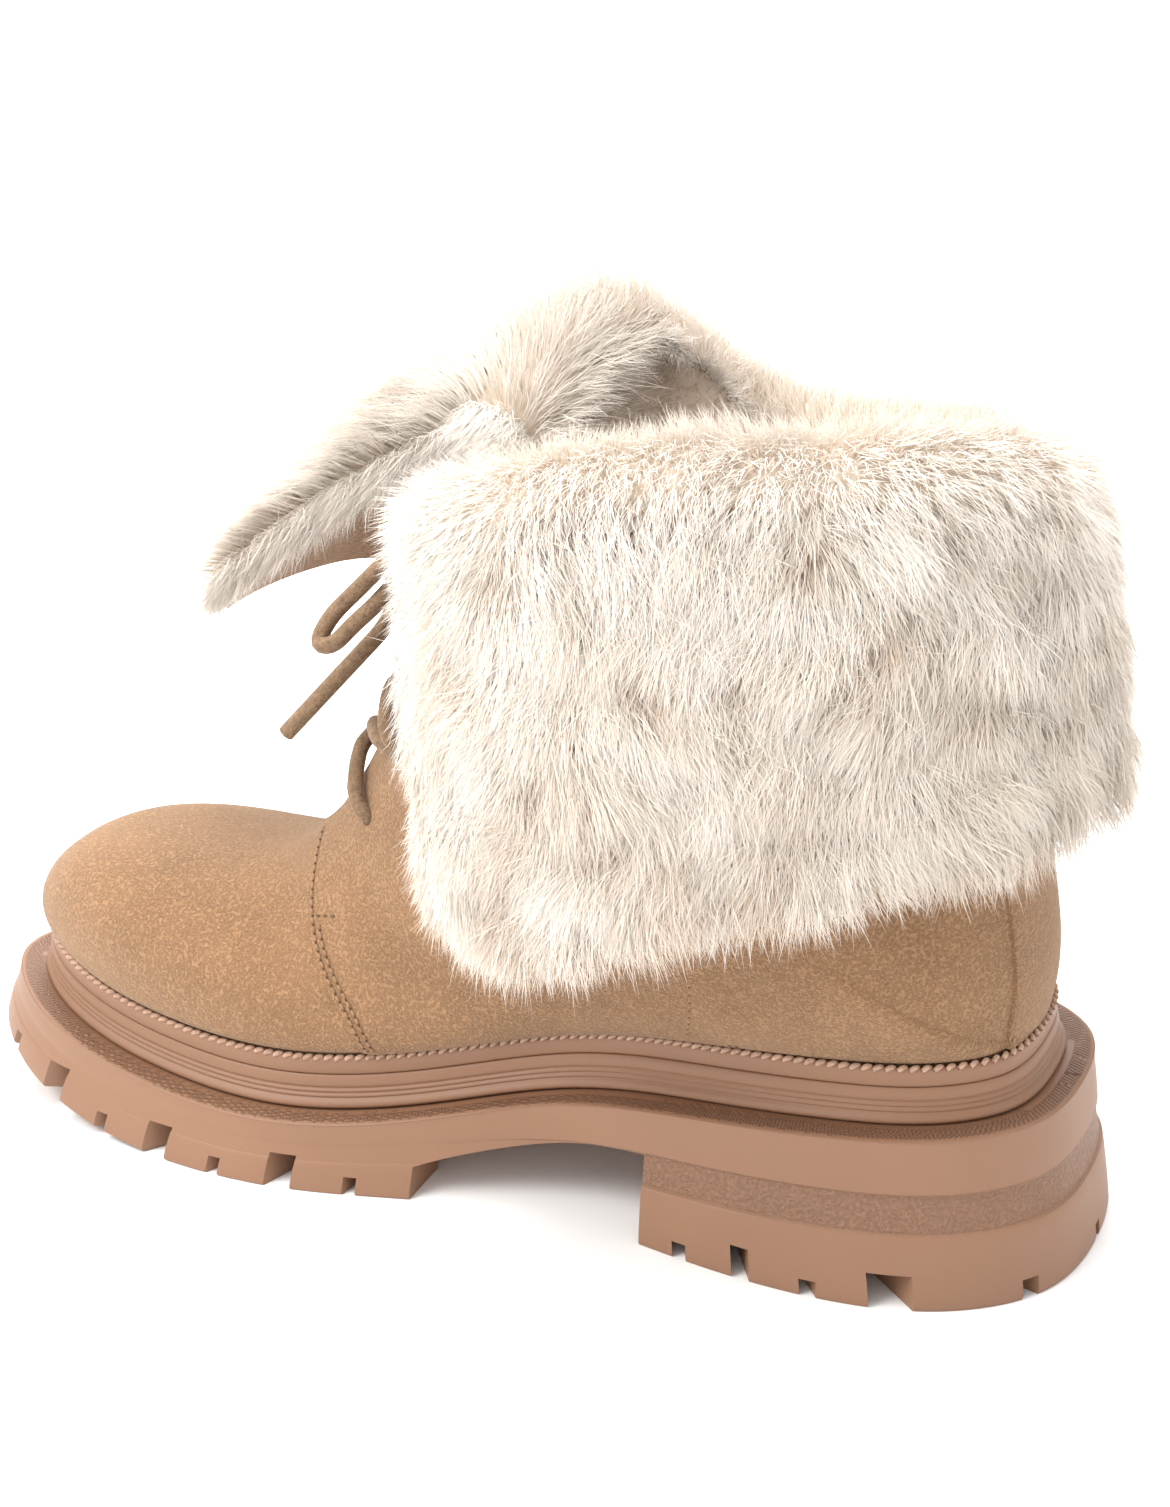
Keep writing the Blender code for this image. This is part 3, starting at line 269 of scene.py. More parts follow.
# Sections of the upper from the toe to the rim
SECTION_COLUMNS = ("ridge_x", "ridge_y", "ridge_z", "seat", "inner", "outer", "widest", "crown", "base")
SECTIONS = [
    (0.9600, 0.066, 0.2373, 0.000, 0.030, 0.030, 0.80, 2.2, 3.0),
    (0.9610, 0.068, 0.2850, 0.045, 0.126, 0.142, 0.80, 2.3, 3.0),
    (0.9490, 0.068, 0.3300, 0.095, 0.206, 0.248, 0.78, 2.4, 3.0),
    (0.9230, 0.067, 0.3700, 0.155, 0.275, 0.358, 0.76, 2.4, 3.0),
    (0.8830, 0.062, 0.3920, 0.220, 0.325, 0.436, 0.74, 2.4, 3.0),
    (0.8330, 0.052, 0.3960, 0.290, 0.354, 0.480, 0.72, 2.3, 3.0),
    (0.7770, 0.042, 0.3930, 0.360, 0.352, 0.486, 0.70, 2.2, 3.0),
    (0.7230, 0.031, 0.4020, 0.430, 0.330, 0.464, 0.68, 2.1, 3.0),
    (0.6800, 0.021, 0.4400, 0.500, 0.315, 0.432, 0.66, 2.0, 2.9),
    (0.6457, 0.010, 0.5080, 0.570, 0.315, 0.406, 0.63, 2.0, 2.8),
    (0.6170, 0.000, 0.5850, 0.640, 0.340, 0.396, 0.61, 2.0, 2.7),
    (0.5935, 0.000, 0.6569, 0.710, 0.370, 0.401, 0.59, 2.0, 2.6),
    (0.5737, 0.000, 0.7194, 0.780, 0.396, 0.417, 0.57, 2.0, 2.5),
    (0.5576, 0.000, 0.7787, 0.850, 0.417, 0.432, 0.55, 2.0, 2.5),
    (0.5450, 0.000, 0.8328, 0.910, 0.437, 0.448, 0.53, 2.1, 2.5),
    (0.5360, 0.000, 0.8780, 0.960, 0.450, 0.455, 0.52, 2.1, 2.4),
    (0.5295, 0.000, 0.9080, 1.000, 0.458, 0.461, 0.50, 2.1, 2.3),
    (0.5252, 0.000, 0.9260, 1.200, 0.463, 0.463, 0.49, 2.2, 2.1),
    (0.5223, 0.000, 0.9380, 1.450, 0.466, 0.466, 0.48, 2.2, 2.0),
    (0.5201, 0.000, 0.9490, 1.720, 0.468, 0.468, 0.48, 2.2, 2.0),
    (0.5180, 0.000, 0.9600, 2.000, 0.470, 0.470, 0.48, 2.2, 2.0),
]
HEEL_ROW = 16
LAST_ROW = 20

BACK_SEAM = [
    (0.00, 0.000),
    (0.10, -0.006),
    (0.22, -0.003),
    (0.38, 0.006),
    (0.58, 0.018),
    (0.78, 0.027),
    (1.00, 0.032),
]

QUARTER_EDGE = [
    (0.584, 0.106),
    (0.592, 0.190),
    (0.604, 0.246),
    (0.621, 0.288),
    (0.638, 0.333),
    (0.651, 0.380),
    (0.661, 0.431),
    (0.667, 0.462),
    (0.678, 0.495),
    (0.710, 0.540),
    (0.800, 0.593),
]

# Cuff: around, turn, lean, tip lean, sweep, length, lift
CUFF = [
    (0.00, 8.0, 0.0, 0.0, 3.0, 0.50, 0.000),
    (0.08, 4.0, 1.0, -2.0, 3.0, 0.56, 0.050),
    (0.18, 0.0, 2.0, -3.0, 2.0, 0.54, 0.095),
    (0.30, 0.0, 1.0, -3.0, 0.0, 0.48, 0.095),
    (0.42, 0.0, 3.0, 3.0, 0.0, 0.43, 0.065),
    (0.50, 0.0, 6.0, 5.0, 0.0, 0.41, 0.025),
    (0.58, 0.0, 5.0, 3.0, 0.0, 0.44, 0.010),
    (0.70, 0.0, 2.0, 0.0, 0.0, 0.48, 0.000),
    (0.78, -2.0, 6.0, 4.0, 0.0, 0.54, 0.020),
    (0.83, -20.0, 22.0, 18.0, 0.0, 0.58, 0.085),
    (0.88, -36.0, 42.0, 40.0, 0.0, 0.62, 0.145),
    (0.94, -30.0, 53.0, 47.0, 0.0, 0.62, 0.120),
    (1.00, -14.0, 62.0, 50.0, 0.0, 0.56, 0.020),
]

# The bow's loops and ends: forward, across (away from the middle) and up from the knot's middle
INNER_LOOP = [
    (0.0010, 0.0060, 0.0010),
    (0.0040, 0.0110, -0.0014),
    (0.0093, 0.0137, -0.0068),
    (0.0151, 0.0162, -0.0128),
    (0.0192, 0.0185, -0.0180),
    (0.0196, 0.0212, -0.0218),
    (0.0166, 0.0218, -0.0215),
    (0.0132, 0.0198, -0.0185),
    (0.0088, 0.0150, -0.0138),
    (0.0040, 0.0045, -0.0055),
]
INNER_END = [
    (0.0058, 0.0026, -0.0006),
    (0.0088, 0.0032, -0.0050),
    (0.0092, 0.0040, -0.0120),
    (0.0098, 0.0052, -0.0191),
    (0.0143, 0.0085, -0.0260),
    (0.0240, 0.0130, -0.0370),
    (0.0340, 0.0155, -0.0480),
]
OUTER_LOOP = [
    (0.0010, 0.0060, 0.0010),
    (0.0020, 0.0115, 0.0005),
    (0.0030, 0.0180, -0.0040),
    (0.0035, 0.0235, -0.0120),
    (0.0050, 0.0257, -0.0200),
    (0.0080, 0.0242, -0.0245),
    (0.0096, 0.0202, -0.0205),
    (0.0066, 0.0142, -0.0125),
    (0.0026, 0.0052, -0.0058),
]
OUTER_END = [
    (0.0058, 0.0030, -0.0016),
    (0.0106, 0.0042, -0.0078),
    (0.0134, 0.0085, -0.0185),
    (0.0140, 0.0140, -0.0290),
    (0.0150, 0.0175, -0.0390),
    (0.0155, 0.0195, -0.0450),
]
BOW = (
    (1, "inner", INNER_LOOP, INNER_END),
    (-1, "outer", OUTER_LOOP, OUTER_END),
)

# Soft creases of the suede in side view: two ends, width and depth
CREASES = [
    (0.196, 0.066, 0.176, 0.045, 0.0060, 0.0006),
    (0.172, 0.080, 0.152, 0.058, 0.0050, 0.0005),
    (0.110, 0.095, 0.118, 0.050, 0.0040, 0.0007),
    (0.060, 0.090, 0.036, 0.072, 0.0060, 0.0005),
]

# Stitch rows along the quarter's front edge: how far behind it, and the height where they stop
QUARTER_ROWS = ((0.0013, 0.079), (0.0030, 0.0625))

# Dark tack at the front edge, seam at the ankle and the nick beside its foot, in side view
BAR_TACK = ((0.1785, 0.0628), (0.1722, 0.0640))
ANKLE_SEAM = ((0.0830, 0.0500), (0.0800, 0.0590), (0.0786, 0.0700))
ANKLE_NICK = ((0.0735, 0.0505), (0.0700, 0.0508))

# Partings in the fur: around, share down the flap, radius and strength
PARTINGS = [
    (0.295, 0.06, 0.0130, 1.0),
    (0.362, 0.03, 0.0080, 0.7),
    (0.340, 0.20, 0.0060, 0.9),
    (0.325, 0.27, 0.0050, 0.8),
    (0.312, 0.36, 0.0050, 0.7),
    (0.260, 0.32, 0.0060, 0.9),
    (0.200, 0.33, 0.0060, 0.8),
    (0.170, 0.69, 0.0070, 0.8),
    (0.098, 0.06, 0.0100, 1.0),
    (0.255, 0.79, 0.0045, 0.9),
    (0.275, 0.81, 0.0045, 0.9),
    (0.297, 0.82, 0.0045, 0.9),
    (0.318, 0.83, 0.0045, 0.8),
    (0.120, 0.48, 0.0070, 0.5),
    (0.400, 0.42, 0.0070, 0.6),
    (0.480, 0.30, 0.0090, 0.8),
    (0.560, 0.62, 0.0080, 0.7),
    (0.620, 0.28, 0.0100, 0.8),
    (0.700, 0.66, 0.0080, 0.7),
    (0.760, 0.30, 0.0100, 0.8),
    (0.870, 0.55, 0.0100, 0.6),
    (0.940, 0.30, 0.0080, 0.6),
]

# Pile on the lining, the fold and the flap: density, root's depth, length, lift at root and at tip
PILE = (
    (0.55, 0.30, 0.0058, 0.80, 0.55),
    (1.50, 0.40, 0.0086, 0.94, 0.72),
    (1.00, 0.42, 0.0112, 0.88, 0.60),
)

# Rounded ends of tubes, as shares of the radius: size and distance of the last three rings
CAP_SIZES = (0.45, 0.80, 0.97)
CAP_STEPS = (0.45, 0.30, 0.10)

# Threads: light and dark colour; the dark thread also fills the needle holes, as painted shade there
THREAD = ((0.42, 0.25, 0.14), (0.24, 0.13, 0.07))
TACK_THREAD_AND_HOLE_SHADE = ((0.14, 0.078, 0.042), (0.08, 0.044, 0.024))
WELT_THREAD = ((0.62, 0.42, 0.30), (0.36, 0.21, 0.14))

# Lamps: name, place, watts, size and colour
LAMPS = (
    ("key_light", (0.75, 0.80, 1.15), 15.0, 0.7, (1.0, 0.99, 0.97)),
    ("top_light", (0.15, -0.10, 1.30), 15.0, 0.9, (1.0, 1.0, 1.0)),
    ("back_light", (0.50, -0.80, 0.80), 10.0, 0.9, (1.0, 1.0, 1.0)),
)
LAMP_TARGET = (0.09, 0.0, 0.09)
FLOOR_REACH = 3.0

# Camera
CAMERA_PLACE = (-0.16737, 0.52500, 0.34606)
CAMERA_HEADING = 1.12602
CAMERA_DROP = 0.43988
CAMERA_ROLL = -2.185
CAMERA_LENS = 65.25
CAMERA_SHIFT = (0.0186, 0.0734)


# Smooth curves
def natural_spline(knots, rows):
    """A function that reads a smooth curve through rows of numbers at any place along their knots."""
    knots = np.asarray(knots, float)
    rows = np.asarray(rows, float)
    count = len(knots)
    gaps = np.diff(knots)
    matrix = np.eye(count)
    right = np.zeros_like(rows)
    for i in range(1, count - 1):
        matrix[i, i - 1] = gaps[i - 1]
        matrix[i, i] = 2 * (gaps[i - 1] + gaps[i])
        matrix[i, i + 1] = gaps[i]
        right[i] = 6 * ((rows[i + 1] - rows[i]) / gaps[i] - (rows[i] - rows[i - 1]) / gaps[i - 1])
    bends = np.linalg.solve(matrix, right)

    def read(at):
        at = np.clip(np.atleast_1d(np.asarray(at, float)), knots[0], knots[-1])
        i = np.clip(np.searchsorted(knots, at, side="right") - 1, 0, count - 2)
        gap = gaps[i]
        after = at - knots[i]
        before = gap - after
        shape = (-1,) + (1,) * (rows.ndim - 1)
        gap, after, before = (part.reshape(shape) for part in (gap, after, before))
        cubic = (bends[i] * before**3 + bends[i + 1] * after**3) / (6 * gap)
        low = (rows[i] / gap - bends[i] * gap / 6) * before
        high = (rows[i + 1] / gap - bends[i + 1] * gap / 6) * after
        return cubic + low + high

    return read


def table_reader(table, along, scale=1.0):
    table = np.asarray(table, float)
    return natural_spline(table[:, along] * scale, np.delete(table, along, axis=1))


def closed_curve(points, steps):
    """A smooth closed curve through points, with the same number of steps between each pair."""
    points = np.asarray(points, float)
    count = len(points)
    gaps = np.linalg.norm(np.roll(points, -1, 0) - points, axis=1)
    matrix = np.zeros((count, count))
    right = np.zeros_like(points)
    for i in range(count):
        after = (i + 1) % count
        matrix[i, i - 1] += gaps[i - 1]
        matrix[i, i] += 2 * (gaps[i - 1] + gaps[i])
        matrix[i, after] += gaps[i]
        right[i] = 6 * ((points[after] - points[i]) / gaps[i] - (points[i] - points[i - 1]) / gaps[i - 1])
    bends = np.linalg.solve(matrix, right)
    curve = []
    for i in range(count):
        after = (i + 1) % count
        gap = gaps[i]
        run = np.linspace(0, gap, steps, endpoint=False)[:, None]
        cubic = (bends[i] * (gap - run) ** 3 + bends[after] * run**3) / (6 * gap)
        low = (points[i] / gap - bends[i] * gap / 6) * (gap - run)
        high = (points[after] / gap - bends[after] * gap / 6) * run
        curve.append(cubic + low + high)
    return np.concatenate(curve)


def unit(vectors):
    lengths = np.linalg.norm(vectors, axis=-1, keepdims=True)
    return vectors / np.maximum(lengths, 1e-12)


def run_length(points):
    steps = np.linalg.norm(np.diff(points, axis=0), axis=1)
    return np.concatenate([[0], np.cumsum(steps)])


def smooth_line(points, count):
    """A number of points at even steps of a smooth curve through a line of points."""
    points = np.array(points)
    run = run_length(points)
    return natural_spline(run, points)(np.linspace(0, run[-1], count))


def even_points(points, pitch):
    """Points at even steps of about pitch along a line of points."""
    run = run_length(points)
    count = max(int(round(run[-1] / pitch)), 2)
    at = np.linspace(0, run[-1], count + 1)
    return np.stack([np.interp(at, run, points[:, k]) for k in range(points.shape[1])], axis=1)


# Plan of the sole
PLAN_STEPS = 40
PLAN_CURVE = closed_curve(np.array(PLAN) * (SOLE_LENGTH, BALL_WIDTH), PLAN_STEPS)
PLAN_TURN = unit(np.roll(PLAN_CURVE, -1, 0) - np.roll(PLAN_CURVE, 1, 0))
PLAN_INWARD = np.stack([PLAN_TURN[:, 1], -PLAN_TURN[:, 0]], axis=1)
TOE_TIP = TOE_TIP_ROW * PLAN_STEPS
HALF_RING = 300


def half_plan(side, inset):
    curve = PLAN_CURVE + PLAN_INWARD * inset
    if side > 0:
        return curve[: TOE_TIP + 1][::-1]
    return np.concatenate([curve[TOE_TIP:], curve[:1]])


def along_half(side, inset, shares):
    """Plan points at shares of the way from the toe tip (0) to the back of the heel (1)."""
    line = half_plan(side, inset)
    run = run_length(line)
    at = np.asarray(shares) * run[-1]
    return np.stack([np.interp(at, run, line[:, 0]), np.interp(at, run, line[:, 1])], axis=1)


READ_SEAT = table_reader(SEAT, 0, SOLE_LENGTH)
READ_ARCH = table_reader(ARCH, 0)
READ_BACK = table_reader(BACK_SEAM, 0)
READ_CUFF = table_reader(CUFF, 0)
READ_SECTIONS = natural_spline(range(len(SECTIONS)), SECTIONS)


def seat_height(x):
    return READ_SEAT(x)[:, 0] * HEEL_RISE


def ground_height(x):
    rise = np.clip((np.asarray(x) - SPRING_START) / (SOLE_LENGTH - SPRING_START), 0, None)
    return TOE_SPRING * rise**2


def midsole_top(x):
    return seat_height(x) - RAND_HEIGHT


def ledge_height(x):
    return midsole_top(x) - MIDSOLE_HEIGHT - FIT_GAP


def heel_share(x):
    """1 under the heel, 0 under the tread."""
    share = np.clip((TREAD_REAR - np.asarray(x)) / (TREAD_REAR - HEEL_BREAST), 0, 1)
    return share * share * (3 - 2 * share)


def loop_ring(inset, height, from_edge=False):
    """One whole level of the sole as (n, 3) points, from the toe down the inner side and back.

    The height is read at the ring's own x, or at the x of the plan's edge beside it.
    """
    shares = np.linspace(0, 1, HALF_RING + 1)
    halves = []
    for side in (1, -1):
        flat = along_half(side, 0.0, shares)
        inward = (along_half(side, 0.001, shares) - flat) / 0.001
        amount = inset(flat[:, 0]) if callable(inset) else np.full(len(flat), inset)
        place = flat + inward * amount[:, None]
        x = flat[:, 0] if from_edge else place[:, 0]
        halves.append(np.column_stack([place, height(x)]))
    return np.concatenate([halves[0], halves[1][::-1][1:-1]])


# Meshes
def shift_home(points):
    """Points of the boot's own frame as points of the scene."""
    return np.asarray(points, float) - (HEEL_CENTRE, 0.0, 0.0)


def link_object(name, data):
    obj = bpy.data.objects.new(name, data)
    bpy.context.scene.collection.objects.link(obj)
    return obj


def add_mesh(name, verts, faces, look, smooth=True, sharp=None):
    """A mesh object from points in the boot's frame, riding on the boot."""
    mesh = bpy.data.meshes.new(name)
    mesh.from_pydata(shift_home(verts).tolist(), [], faces)
    mesh.validate()
    mesh.materials.append(look)
    if smooth:
        mesh.shade_smooth()
    if sharp:
        mesh.set_sharp_from_angle(angle=math.radians(sharp))
    obj = link_object(name, mesh)
    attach(obj, "root")
    return obj


def grid_faces(rows, columns, closed=False, start=0):
    """Quads of a rows by columns grid of points, closed across the columns if asked."""
    steps = columns if closed else columns - 1
    i, j = np.meshgrid(np.arange(rows - 1), np.arange(steps), indexing="ij")
    after = (j + 1) % columns
    above, below = i * columns, (i + 1) * columns
    quads = np.stack([above + j, above + after, below + after, below + j], -1)
    return (quads.reshape(-1, 4) + start).tolist()


def capped_faces(rows, sides):
    """Faces of a tube of closed rings with both its ends filled."""
    faces = grid_faces(rows, sides, closed=True)
    faces.append(tuple(range(sides)))
    last = (rows - 1) * sides
    faces.append(tuple(range(last + sides - 1, last - 1, -1)))
    return faces


def weld_and_face_out(obj, merge=0.00002):
    """Merges points that meet and turns every face outwards."""
    shape = bmesh.new()
    shape.from_mesh(obj.data)
    bmesh.ops.remove_doubles(shape, verts=shape.verts, dist=merge)
    bmesh.ops.recalc_face_normals(shape, faces=shape.faces)
    shape.to_mesh(obj.data)
    shape.free()


def add_cutter(name, verts, faces):
    """A closed shape that cuts other pieces and is then removed."""
    mesh = bpy.data.meshes.new(name)
    mesh.from_pydata(shift_home(verts).tolist(), [], faces)
    cutter = link_object(name, mesh)
    weld_and_face_out(cutter)
    return cutter


def apply_cuts(obj, steps, sharp=30):
    """Applies Boolean steps with cutters to a mesh and removes the cutters."""
    for cutter, operation in steps:
        step = obj.modifiers.new(cutter.name, "BOOLEAN")
        step.operation = operation
        step.solver = "MANIFOLD"
        step.object = cutter
    graph = bpy.context.evaluated_depsgraph_get()
    cut = bpy.data.meshes.new_from_object(obj.evaluated_get(graph))
    obj.modifiers.clear()
    if len(cut.polygons) < 100:
        raise RuntimeError(f"the cuts of {obj.name} left no mesh")
    obj.data = cut
    cut.shade_smooth()
    cut.set_sharp_from_angle(angle=math.radians(sharp))
    for cutter, _ in steps:
        bpy.data.objects.remove(cutter, do_unlink=True)


def box_shape(centre, along, length, width, low, high):
    """Corners and faces of a box with its length along a plan direction."""
    along = np.array(along, float)
    across = np.array((-along[1], along[0]))
    corners = []
    for level in (low, high):
        for a, b in ((-1, -1), (1, -1), (1, 1), (-1, 1)):
            flat = np.array(centre) + along * (a * length / 2) + across * (b * width / 2)
            corners.append((*flat, level))
    faces = [(0, 3, 2, 1), (4, 5, 6, 7), (0, 1, 5, 4), (1, 2, 6, 5), (2, 3, 7, 6), (3, 0, 4, 7)]
    return corners, faces


def join_shapes(shapes):
    verts = []
    faces = []
    for points, polygons in shapes:
        start = len(verts)
        verts.extend([tuple(point) for point in points])
        faces.extend([tuple(i + start for i in polygon) for polygon in polygons])
    return np.array(verts, float), faces


def prism_shape(outline, low, high, axis):
    """A closed prism over a polygon, along y (axis 1) or x (axis 0)."""
    count = len(outline)
    verts = []
    for level in (low, high):
        verts += [(level, a, b) if axis == 0 else (a, level, b) for a, b in outline]
    faces = [tuple(range(count)), tuple(range(2 * count - 1, count - 1, -1))]
    faces += [(i, (i + 1) % count, count + (i + 1) % count, count + i) for i in range(count)]
    return np.array(verts, float), faces


def tube_shape(points, radius, sides, squash=1.0, fuzz=0.0, seed=3):
    """A round tube along a line of points, with closed and rounded ends."""
    points = np.array(points, float)
    radius = np.broadcast_to(np.asarray(radius, float), (len(points),)).copy()
    heading = unit(np.gradient(points, axis=0))
    cap = np.array(CAP_SIZES)
    radius = np.concatenate([radius[0] * cap, radius, radius[-1] * cap[::-1]])
    ends = [points[0] - heading[0] * radius[3] * step for step in CAP_STEPS]
    tails = [points[-1] + heading[-1] * radius[-4] * step for step in CAP_STEPS[::-1]]
    points = np.concatenate([ends, points, tails])
    heading = np.concatenate([heading[:1]] * 3 + [heading] + [heading[-1:]] * 3)
    rng = np.random.default_rng(seed)
    side = unit(np.cross(heading[0], (0.3, 0.2, 1.0)))
    angles = math.tau * np.arange(sides) / sides
    verts = []
    for point, ahead, reach in zip(points, heading, radius):
        side = unit(side - ahead * np.dot(side, ahead))
        up = np.cross(ahead, side)
        size = reach * (1 + fuzz * rng.standard_normal(sides))
        circle = side * (np.cos(angles) * size)[:, None] + up * (np.sin(angles) * size * squash)[:, None]
        verts.append(point + circle)
    return np.concatenate(verts), capped_faces(len(points), sides)


# Node groups and materials
def new_group(name, inputs, outputs):
    """An empty shader group with its sockets, and its two ends."""
    tree = bpy.data.node_groups.new(name, "ShaderNodeTree")
    for label, kind, value in inputs:
        socket = tree.interface.new_socket(name=label, in_out="INPUT", socket_type=kind)
        socket.default_value = value
    for label, kind in outputs:
        tree.interface.new_socket(name=label, in_out="OUTPUT", socket_type=kind)
    return tree, tree.nodes.new("NodeGroupInput"), tree.nodes.new("NodeGroupOutput")


def add_node(tree, kind, values=None, **settings):
    node = tree.nodes.new(kind)
    for key, value in settings.items():
        setattr(node, key, value)
    for key, value in (values or {}).items():
        node.inputs[key].default_value = value
    return node


def noise(tree, vector, scale, detail=2.0, roughness=0.5):
    node = add_node(tree, "ShaderNodeTexNoise", {"Scale": scale, "Detail": detail, "Roughness": roughness})
    tree.links.new(vector, node.inputs["Vector"])
    return node.outputs["Fac"]


def math_node(tree, operation, first, second=0.5, clamp=False):
    node = add_node(tree, "ShaderNodeMath", operation=operation, use_clamp=clamp)
    for socket, value in zip(node.inputs, (first, second)):
        if hasattr(value, "is_linked"):
            tree.links.new(value, socket)
        else:
            socket.default_value = value
    return node.outputs[0]


def weighted_sum(tree, first, first_share, second, second_share):
    return math_node(
        tree,
        "ADD",
        math_node(tree, "MULTIPLY", first, first_share),
        math_node(tree, "MULTIPLY", second, second_share),
    )


def spread_range(tree, value, low, high):
    """Stretches the range from low to high over 0 to 1."""
    node = add_node(tree, "ShaderNodeMapRange", {"From Min": low, "From Max": high})
    tree.links.new(value, node.inputs["Value"])
    return node.outputs["Result"]


def mix_colours(tree, share, first, second):
    node = add_node(tree, "ShaderNodeMix", data_type="RGBA")
    sockets = [s for s in node.inputs if s.type == "RGBA"]
    pairs = ((node.inputs["Factor"], share), (sockets[0], first), (sockets[1], second))
    for socket, value in pairs:
        if hasattr(value, "is_linked"):
            tree.links.new(value, socket)
        else:
            socket.default_value = value
    return next(s for s in node.outputs if s.type == "RGBA")


def suede_group():
    """Short mottled nap: a colour and a bump height."""
    tree, start, end = new_group(
        "Suede nap",
        [
            ("Light", "NodeSocketColor", (0.62, 0.40, 0.24, 1)),
            ("Dark", "NodeSocketColor", (0.36, 0.20, 0.11, 1)),
            ("Scale", "NodeSocketFloat", 1.0),
        ],
        [("Colour", "NodeSocketColor"), ("Height", "NodeSocketFloat")],
    )
    place = add_node(tree, "ShaderNodeTexCoord")
    sized = add_node(tree, "ShaderNodeVectorMath", operation="SCALE")
    tree.links.new(place.outputs["Object"], sized.inputs[0])
    tree.links.new(start.outputs["Scale"], sized.inputs["Scale"])
    spot = sized.outputs[0]
    fine = noise(tree, spot, 2200.0, 2.0, 0.6)
    nap = noise(tree, spot, 1150.0, 2.0, 0.6)
    cloud = noise(tree, spot, 85.0, 3.0, 0.55)
    broad = noise(tree, spot, 16.0, 2.0, 0.5)
    worm = math_node(tree, "ABSOLUTE", math_node(tree, "SUBTRACT", nap, 0.5))
    worm = spread_range(tree, worm, 0.0, 0.11)
    grain = weighted_sum(tree, fine, 0.45, nap, 0.55)
    speckle = spread_range(tree, grain, 0.42, 0.58)
    speckle = weighted_sum(tree, speckle, 0.7, worm, 0.3)
    clouds = weighted_sum(tree, cloud, 0.5, broad, 0.5)
    patch = spread_range(tree, clouds, 0.38, 0.62)
    share = weighted_sum(tree, speckle, 0.80, patch, 0.20)
    colour = mix_colours(tree, share, start.outputs["Dark"], start.outputs["Light"])
    tree.links.new(colour, end.inputs["Colour"])
    tree.links.new(share, end.inputs["Height"])
    return tree


def rubber_group():
    """Moulded rubber: fine grain, a rough mask and hatched ledge, as a colour and a bump height, with
    painted shade in the pits of the grain and the gaps of the hatch.
    """
    tree, start, end = new_group(
        "Moulded rubber",
        [
            ("Colour", "NodeSocketColor", (0.45, 0.26, 0.18, 1)),
            ("Shade", "NodeSocketColor", (0.30, 0.16, 0.11, 1)),
            ("Rough mask", "NodeSocketFloat", 0.0),
            ("Hatch mask", "NodeSocketFloat", 0.0),
        ],
        [("Colour", "NodeSocketColor"), ("Height", "NodeSocketFloat")],
    )
    place = add_node(tree, "ShaderNodeTexCoord")
    spot = place.outputs["Object"]
    fine = noise(tree, spot, 1600.0, 2.0, 0.6)
    broad = noise(tree, spot, 26.0, 2.0, 0.5)
    pebble = noise(tree, spot, 1150.0, 2.0, 0.6)
    pitted = spread_range(tree, pebble, 0.36, 0.64)
    uv = add_node(tree, "ShaderNodeUVMap", uv_map="along")
    parts = add_node(tree, "ShaderNodeSeparateXYZ")
    tree.links.new(uv.outputs["UV"], parts.inputs[0])
    slant = weighted_sum(tree, parts.outputs["X"], 1.0, parts.outputs["Y"], 0.7)
    wave = math_node(tree, "SINE", math_node(tree, "MULTIPLY", slant, math.tau / HATCH_PERIOD))
    ribs = math_node(tree, "ADD", math_node(tree, "MULTIPLY", wave, 0.5), 0.5)
    rough_mask = start.outputs["Rough mask"]
    hatch_mask = start.outputs["Hatch mask"]
    rough = math_node(tree, "MULTIPLY", pitted, rough_mask)
    hatch = math_node(tree, "MULTIPLY", ribs, hatch_mask)
    height = weighted_sum(tree, fine, 0.10, rough, 1.0)
    height = math_node(tree, "ADD", height, hatch)
    # Pits of the grain and gaps of the hatch take the darker Shade colour: painted shade in these
    # recesses.
    dips = math_node(tree, "MULTIPLY", math_node(tree, "SUBTRACT", 1.0, pitted), rough_mask)
    gaps = math_node(tree, "MULTIPLY", math_node(tree, "SUBTRACT", 1.0, ribs), hatch_mask)
    dark = weighted_sum(tree, dips, 0.55, gaps, 0.95)
    cloudy = math_node(tree, "MULTIPLY", spread_range(tree, broad, 0.35, 0.75), 0.16)
    dark = math_node(tree, "ADD", dark, cloudy, True)
    colour = mix_colours(tree, dark, start.outputs["Colour"], start.outputs["Shade"])
    tree.links.new(colour, end.inputs["Colour"])
    tree.links.new(height, end.inputs["Height"])
    return tree


def fur_group():
    """Colour of a fibre from its root (shade 0) to its tip (shade 1)."""
    tree, start, end = new_group(
        "Fur fibre",
        [
            ("Root", "NodeSocketColor", (0.46, 0.33, 0.23, 1)),
            ("Middle", "NodeSocketColor", (0.78, 0.68, 0.58, 1)),
            ("Tip", "NodeSocketColor", (0.95, 0.91, 0.86, 1)),
            ("Shade", "NodeSocketFloat", 0.5),
        ],
        [("Colour", "NodeSocketColor")],
    )
    place = add_node(tree, "ShaderNodeTexCoord")
    cloud = noise(tree, place.outputs["Object"], 60.0, 2.0, 0.5)
    lift = math_node(tree, "MULTIPLY", math_node(tree, "SUBTRACT", cloud, 0.5), 0.22)
    shade = math_node(tree, "ADD", start.outputs["Shade"], lift, True)
    root, middle, tip = (start.outputs[name] for name in ("Root", "Middle", "Tip"))
    low = mix_colours(tree, spread_range(tree, shade, 0.0, 0.45), root, middle)
    colour = mix_colours(tree, spread_range(tree, shade, 0.40, 0.95), low, tip)
    tree.links.new(colour, end.inputs["Colour"])
    return tree


